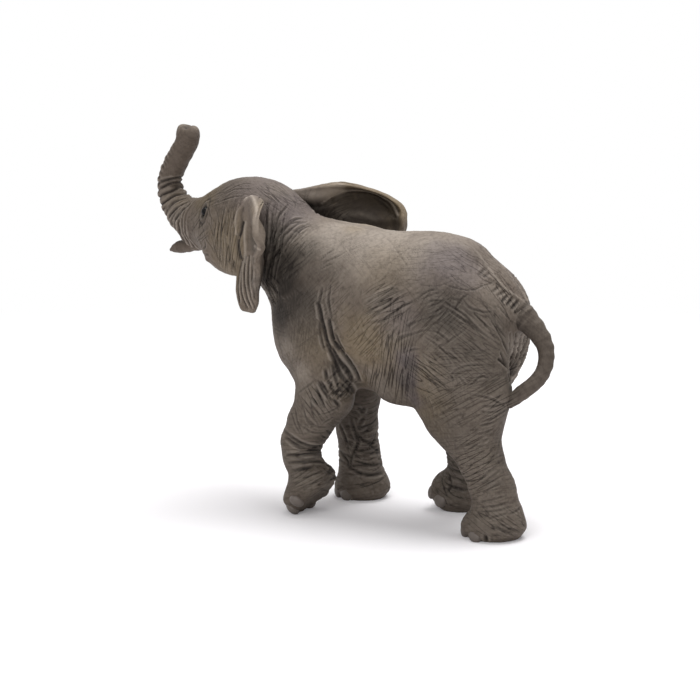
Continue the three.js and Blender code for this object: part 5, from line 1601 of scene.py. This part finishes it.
def nail_tree():
    """Sets one rounded nail on each point of a mesh, facing the way that the point faces."""
    tree = bpy.data.node_groups.new("toe_nails", "GeometryNodeTree")
    tree.interface.new_socket("Geometry", in_out="INPUT", socket_type="NodeSocketGeometry")
    for name in ("Nail width", "Nail height", "Nail thickness"):
        tree.interface.new_socket(name, in_out="INPUT", socket_type="NodeSocketFloat")
    tree.interface.new_socket("Nail material", in_out="INPUT", socket_type="NodeSocketMaterial")
    tree.interface.new_socket("Geometry", in_out="OUTPUT", socket_type="NodeSocketGeometry")
    given = add(tree, "NodeGroupInput").outputs
    size = add(tree, "ShaderNodeCombineXYZ", {0: given["Nail thickness"], 1: given["Nail width"],
                                              2: given["Nail height"]}).outputs[0]
    ball = add(tree, "GeometryNodeMeshUVSphere", {"Segments": 32, "Rings": 20, "Radius": 0.5}).outputs["Mesh"]
    form = add(tree, "GeometryNodeTransform", {"Geometry": ball, "Scale": size}).outputs[0]
    facing = add(tree, "GeometryNodeInputNamedAttribute", {"Name": "turn"},
                 data_type="FLOAT_VECTOR").outputs[0]
    set_out = add(tree, "GeometryNodeInstanceOnPoints",
                  {"Points": given["Geometry"], "Instance": form, "Rotation": facing}).outputs[0]
    real = add(tree, "GeometryNodeRealizeInstances", {"Geometry": set_out}).outputs[0]
    smooth = add(tree, "GeometryNodeSetShadeSmooth", {"Geometry": real}).outputs[0]
    painted = add(tree, "GeometryNodeSetMaterial",
                  {"Geometry": smooth, "Material": given["Nail material"]}).outputs[0]
    add(tree, "NodeGroupOutput", {"Geometry": painted})
    return tree


toe_nails = nail_tree()


def nails_on(leg):
    """The nails of one foot, as a plain mesh."""
    pitch = math.radians(leg.pitch)
    cos, sin = math.cos(pitch), math.sin(pitch)
    tilt = np.array([[cos, 0, sin], [0, 1, 0], [-sin, 0, cos]])
    places, turns = [], []
    for i in range(leg.nails):
        angle = math.radians(NAIL_SPREAD * (i / (leg.nails - 1) - 0.5))
        own = np.array([NAIL_SEAT * leg.foot_size[0] * math.cos(angle),
                        NAIL_SEAT * leg.foot_size[1] * math.sin(angle), -NAIL_DROP * leg.foot_size[2]])
        places.append(leg.foot_at + tilt @ own)
        turns.append((0, pitch, angle))
    mesh = bpy.data.meshes.new(leg.name + "_toes")
    mesh.from_pydata(to_row(places).tolist(), [], [])
    mesh.attributes.new("turn", "FLOAT_VECTOR", "POINT").data.foreach_set("vector", np.array(turns).ravel())
    toes = put(leg.name + "_toes", mesh)
    modifier = toes.modifiers.new("nails", "NODES")
    modifier.node_group = toe_nails
    sizes = {"Nail width": NAIL_WIDTH * METRE, "Nail height": NAIL_HEIGHT * METRE,
             "Nail thickness": 2 * NAIL_THICKNESS * METRE, "Nail material": nail_paint}
    for socket in toe_nails.interface.items_tree:
        if socket.in_out == "INPUT" and socket.name in sizes:
            modifier[socket.identifier] = sizes[socket.name]
    evaluated = toes.evaluated_get(bpy.context.evaluated_depsgraph_get())
    plain = bpy.data.meshes.new_from_object(evaluated)
    for vertex in plain.vertices:
        vertex.co.z = max(vertex.co.z, 0)
    piece = put(leg.name + "_nails", plain)
    bpy.data.objects.remove(toes)
    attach(piece, "root")


for leg in legs:
    nails_on(leg)


# Eyes
EYE_SEGMENTS, EYE_RINGS = 40, 28


def eyeball(name, place):
    """A glossy ball: two poles with rings of points between them, always in the same order."""
    turns = np.linspace(0, 2 * math.pi, EYE_SEGMENTS, endpoint=False)
    tilts = np.linspace(0, math.pi, EYE_RINGS + 1)[1:-1]
    ways = [(0, 0, 1), (0, 0, -1)]
    ways += [(math.sin(tilt) * math.cos(turn), math.sin(tilt) * math.sin(turn), math.cos(tilt))
             for tilt in tilts for turn in turns]
    faces = []
    for i in range(EYE_SEGMENTS):
        after = (i + 1) % EYE_SEGMENTS
        rungs = [(2 + ring * EYE_SEGMENTS + i, 2 + ring * EYE_SEGMENTS + after) for ring in range(len(tilts))]
        faces.append((0, *rungs[0]))
        faces += [(*upper[::-1], *lower) for upper, lower in zip(rungs, rungs[1:])]
        faces.append((1, *rungs[-1][::-1]))
    mesh = bpy.data.meshes.new(name)
    mesh.from_pydata(to_row(place + EYE_RADIUS * np.array(ways)).tolist(), [], faces)
    mesh.polygons.foreach_set("use_smooth", np.ones(len(faces), bool))
    settle(put(name, mesh), "hide_head", eye_paint)


for side, place in zip(("left", "right"), eye_places):
    out = unit(slope_of(skin, place[None], 0.4))[0]
    seat = to_skin(place[None])[0] - EYE_DEPTH * out
    eyeball(side + "_eye", seat)

# Studio: a wide paper floor, white seen directly with a dim fill from all round, and two soft lamps
FLOOR_HALF = 6.0
FILL_STRENGTH = 0.385
LAMP_SIZE, OVERHEAD_WATTS, FRONT_WATTS = 0.8, 10.7, 3
SENSOR_WIDTH = 36
floor_mesh = bpy.data.meshes.new("floor")
floor_mesh.from_pydata([(x * FLOOR_HALF, y * FLOOR_HALF, 0) for x, y in ((-1, -1), (1, -1), (1, 1), (-1, 1))],
                       [], [(0, 1, 2, 3)])
floor = put("floor", floor_mesh)
floor_mesh.materials.append(floor_paint)

world = bpy.data.worlds.new("studio")
bpy.context.scene.world = world
world.use_nodes = True
tree = world.node_tree
tree.nodes.clear()
rays = add(tree, "ShaderNodeLightPath").outputs
seen = maths(tree, "MAXIMUM", rays["Is Camera Ray"], rays["Is Glossy Ray"])
seen = maths(tree, "MAXIMUM", seen, rays["Is Transmission Ray"])
white = add(tree, "ShaderNodeBackground", {"Color": (1, 1, 1, 1), "Strength": 1.0})
fill = add(tree, "ShaderNodeBackground", {"Color": colour("#f7f4f2"), "Strength": FILL_STRENGTH})
sky = add(tree, "ShaderNodeMixShader", {0: seen, 1: fill.outputs[0], 2: white.outputs[0]})
add(tree, "ShaderNodeOutputWorld", {"Surface": sky.outputs[0]})


def softbox(name, at, aim, watts):
    """A round soft lamp turned to what it lights."""
    lamp = bpy.data.lights.new(name, "AREA")
    lamp.shape = "DISK"
    lamp.size = LAMP_SIZE
    lamp.energy = watts
    made = put(name, lamp)
    made.location = at
    made.rotation_euler = (Vector(aim) - Vector(at)).to_track_quat("-Z", "Y").to_euler()


middle = to_row(CAMERA_TARGET)
toward = -view_way
upright = np.array([0, 0, 1])
softbox("overhead_softbox", middle + 0.9 * upright - 0.22 * toward + 0.12 * view_right, middle,
        OVERHEAD_WATTS)
softbox("front_softbox", middle + 0.9 * toward - 0.35 * view_right + 0.35 * upright, middle, FRONT_WATTS)

camera = bpy.data.cameras.new("camera")
camera.lens = FOCAL_PIXELS * SENSOR_WIDTH / PHOTO_SIZE
camera.sensor_width = SENSOR_WIDTH
camera.clip_start = 0.05
camera_object = put("camera", camera)
way = Vector(pixel_way(PHOTO_SIZE / 2, PHOTO_SIZE / 2))
right = way.cross(Vector(view_up)).normalized()
up = right.cross(way)
camera_object.location = to_row(camera_at)
turned = Vector((0, 0, 0)).to_track_quat("Z", "Y").to_matrix()
turned.col[0], turned.col[1], turned.col[2] = right, up, -way
camera_object.rotation_euler = turned.to_euler()
bpy.context.scene.camera = camera_object
bpy.context.scene.view_settings.view_transform = "Standard"
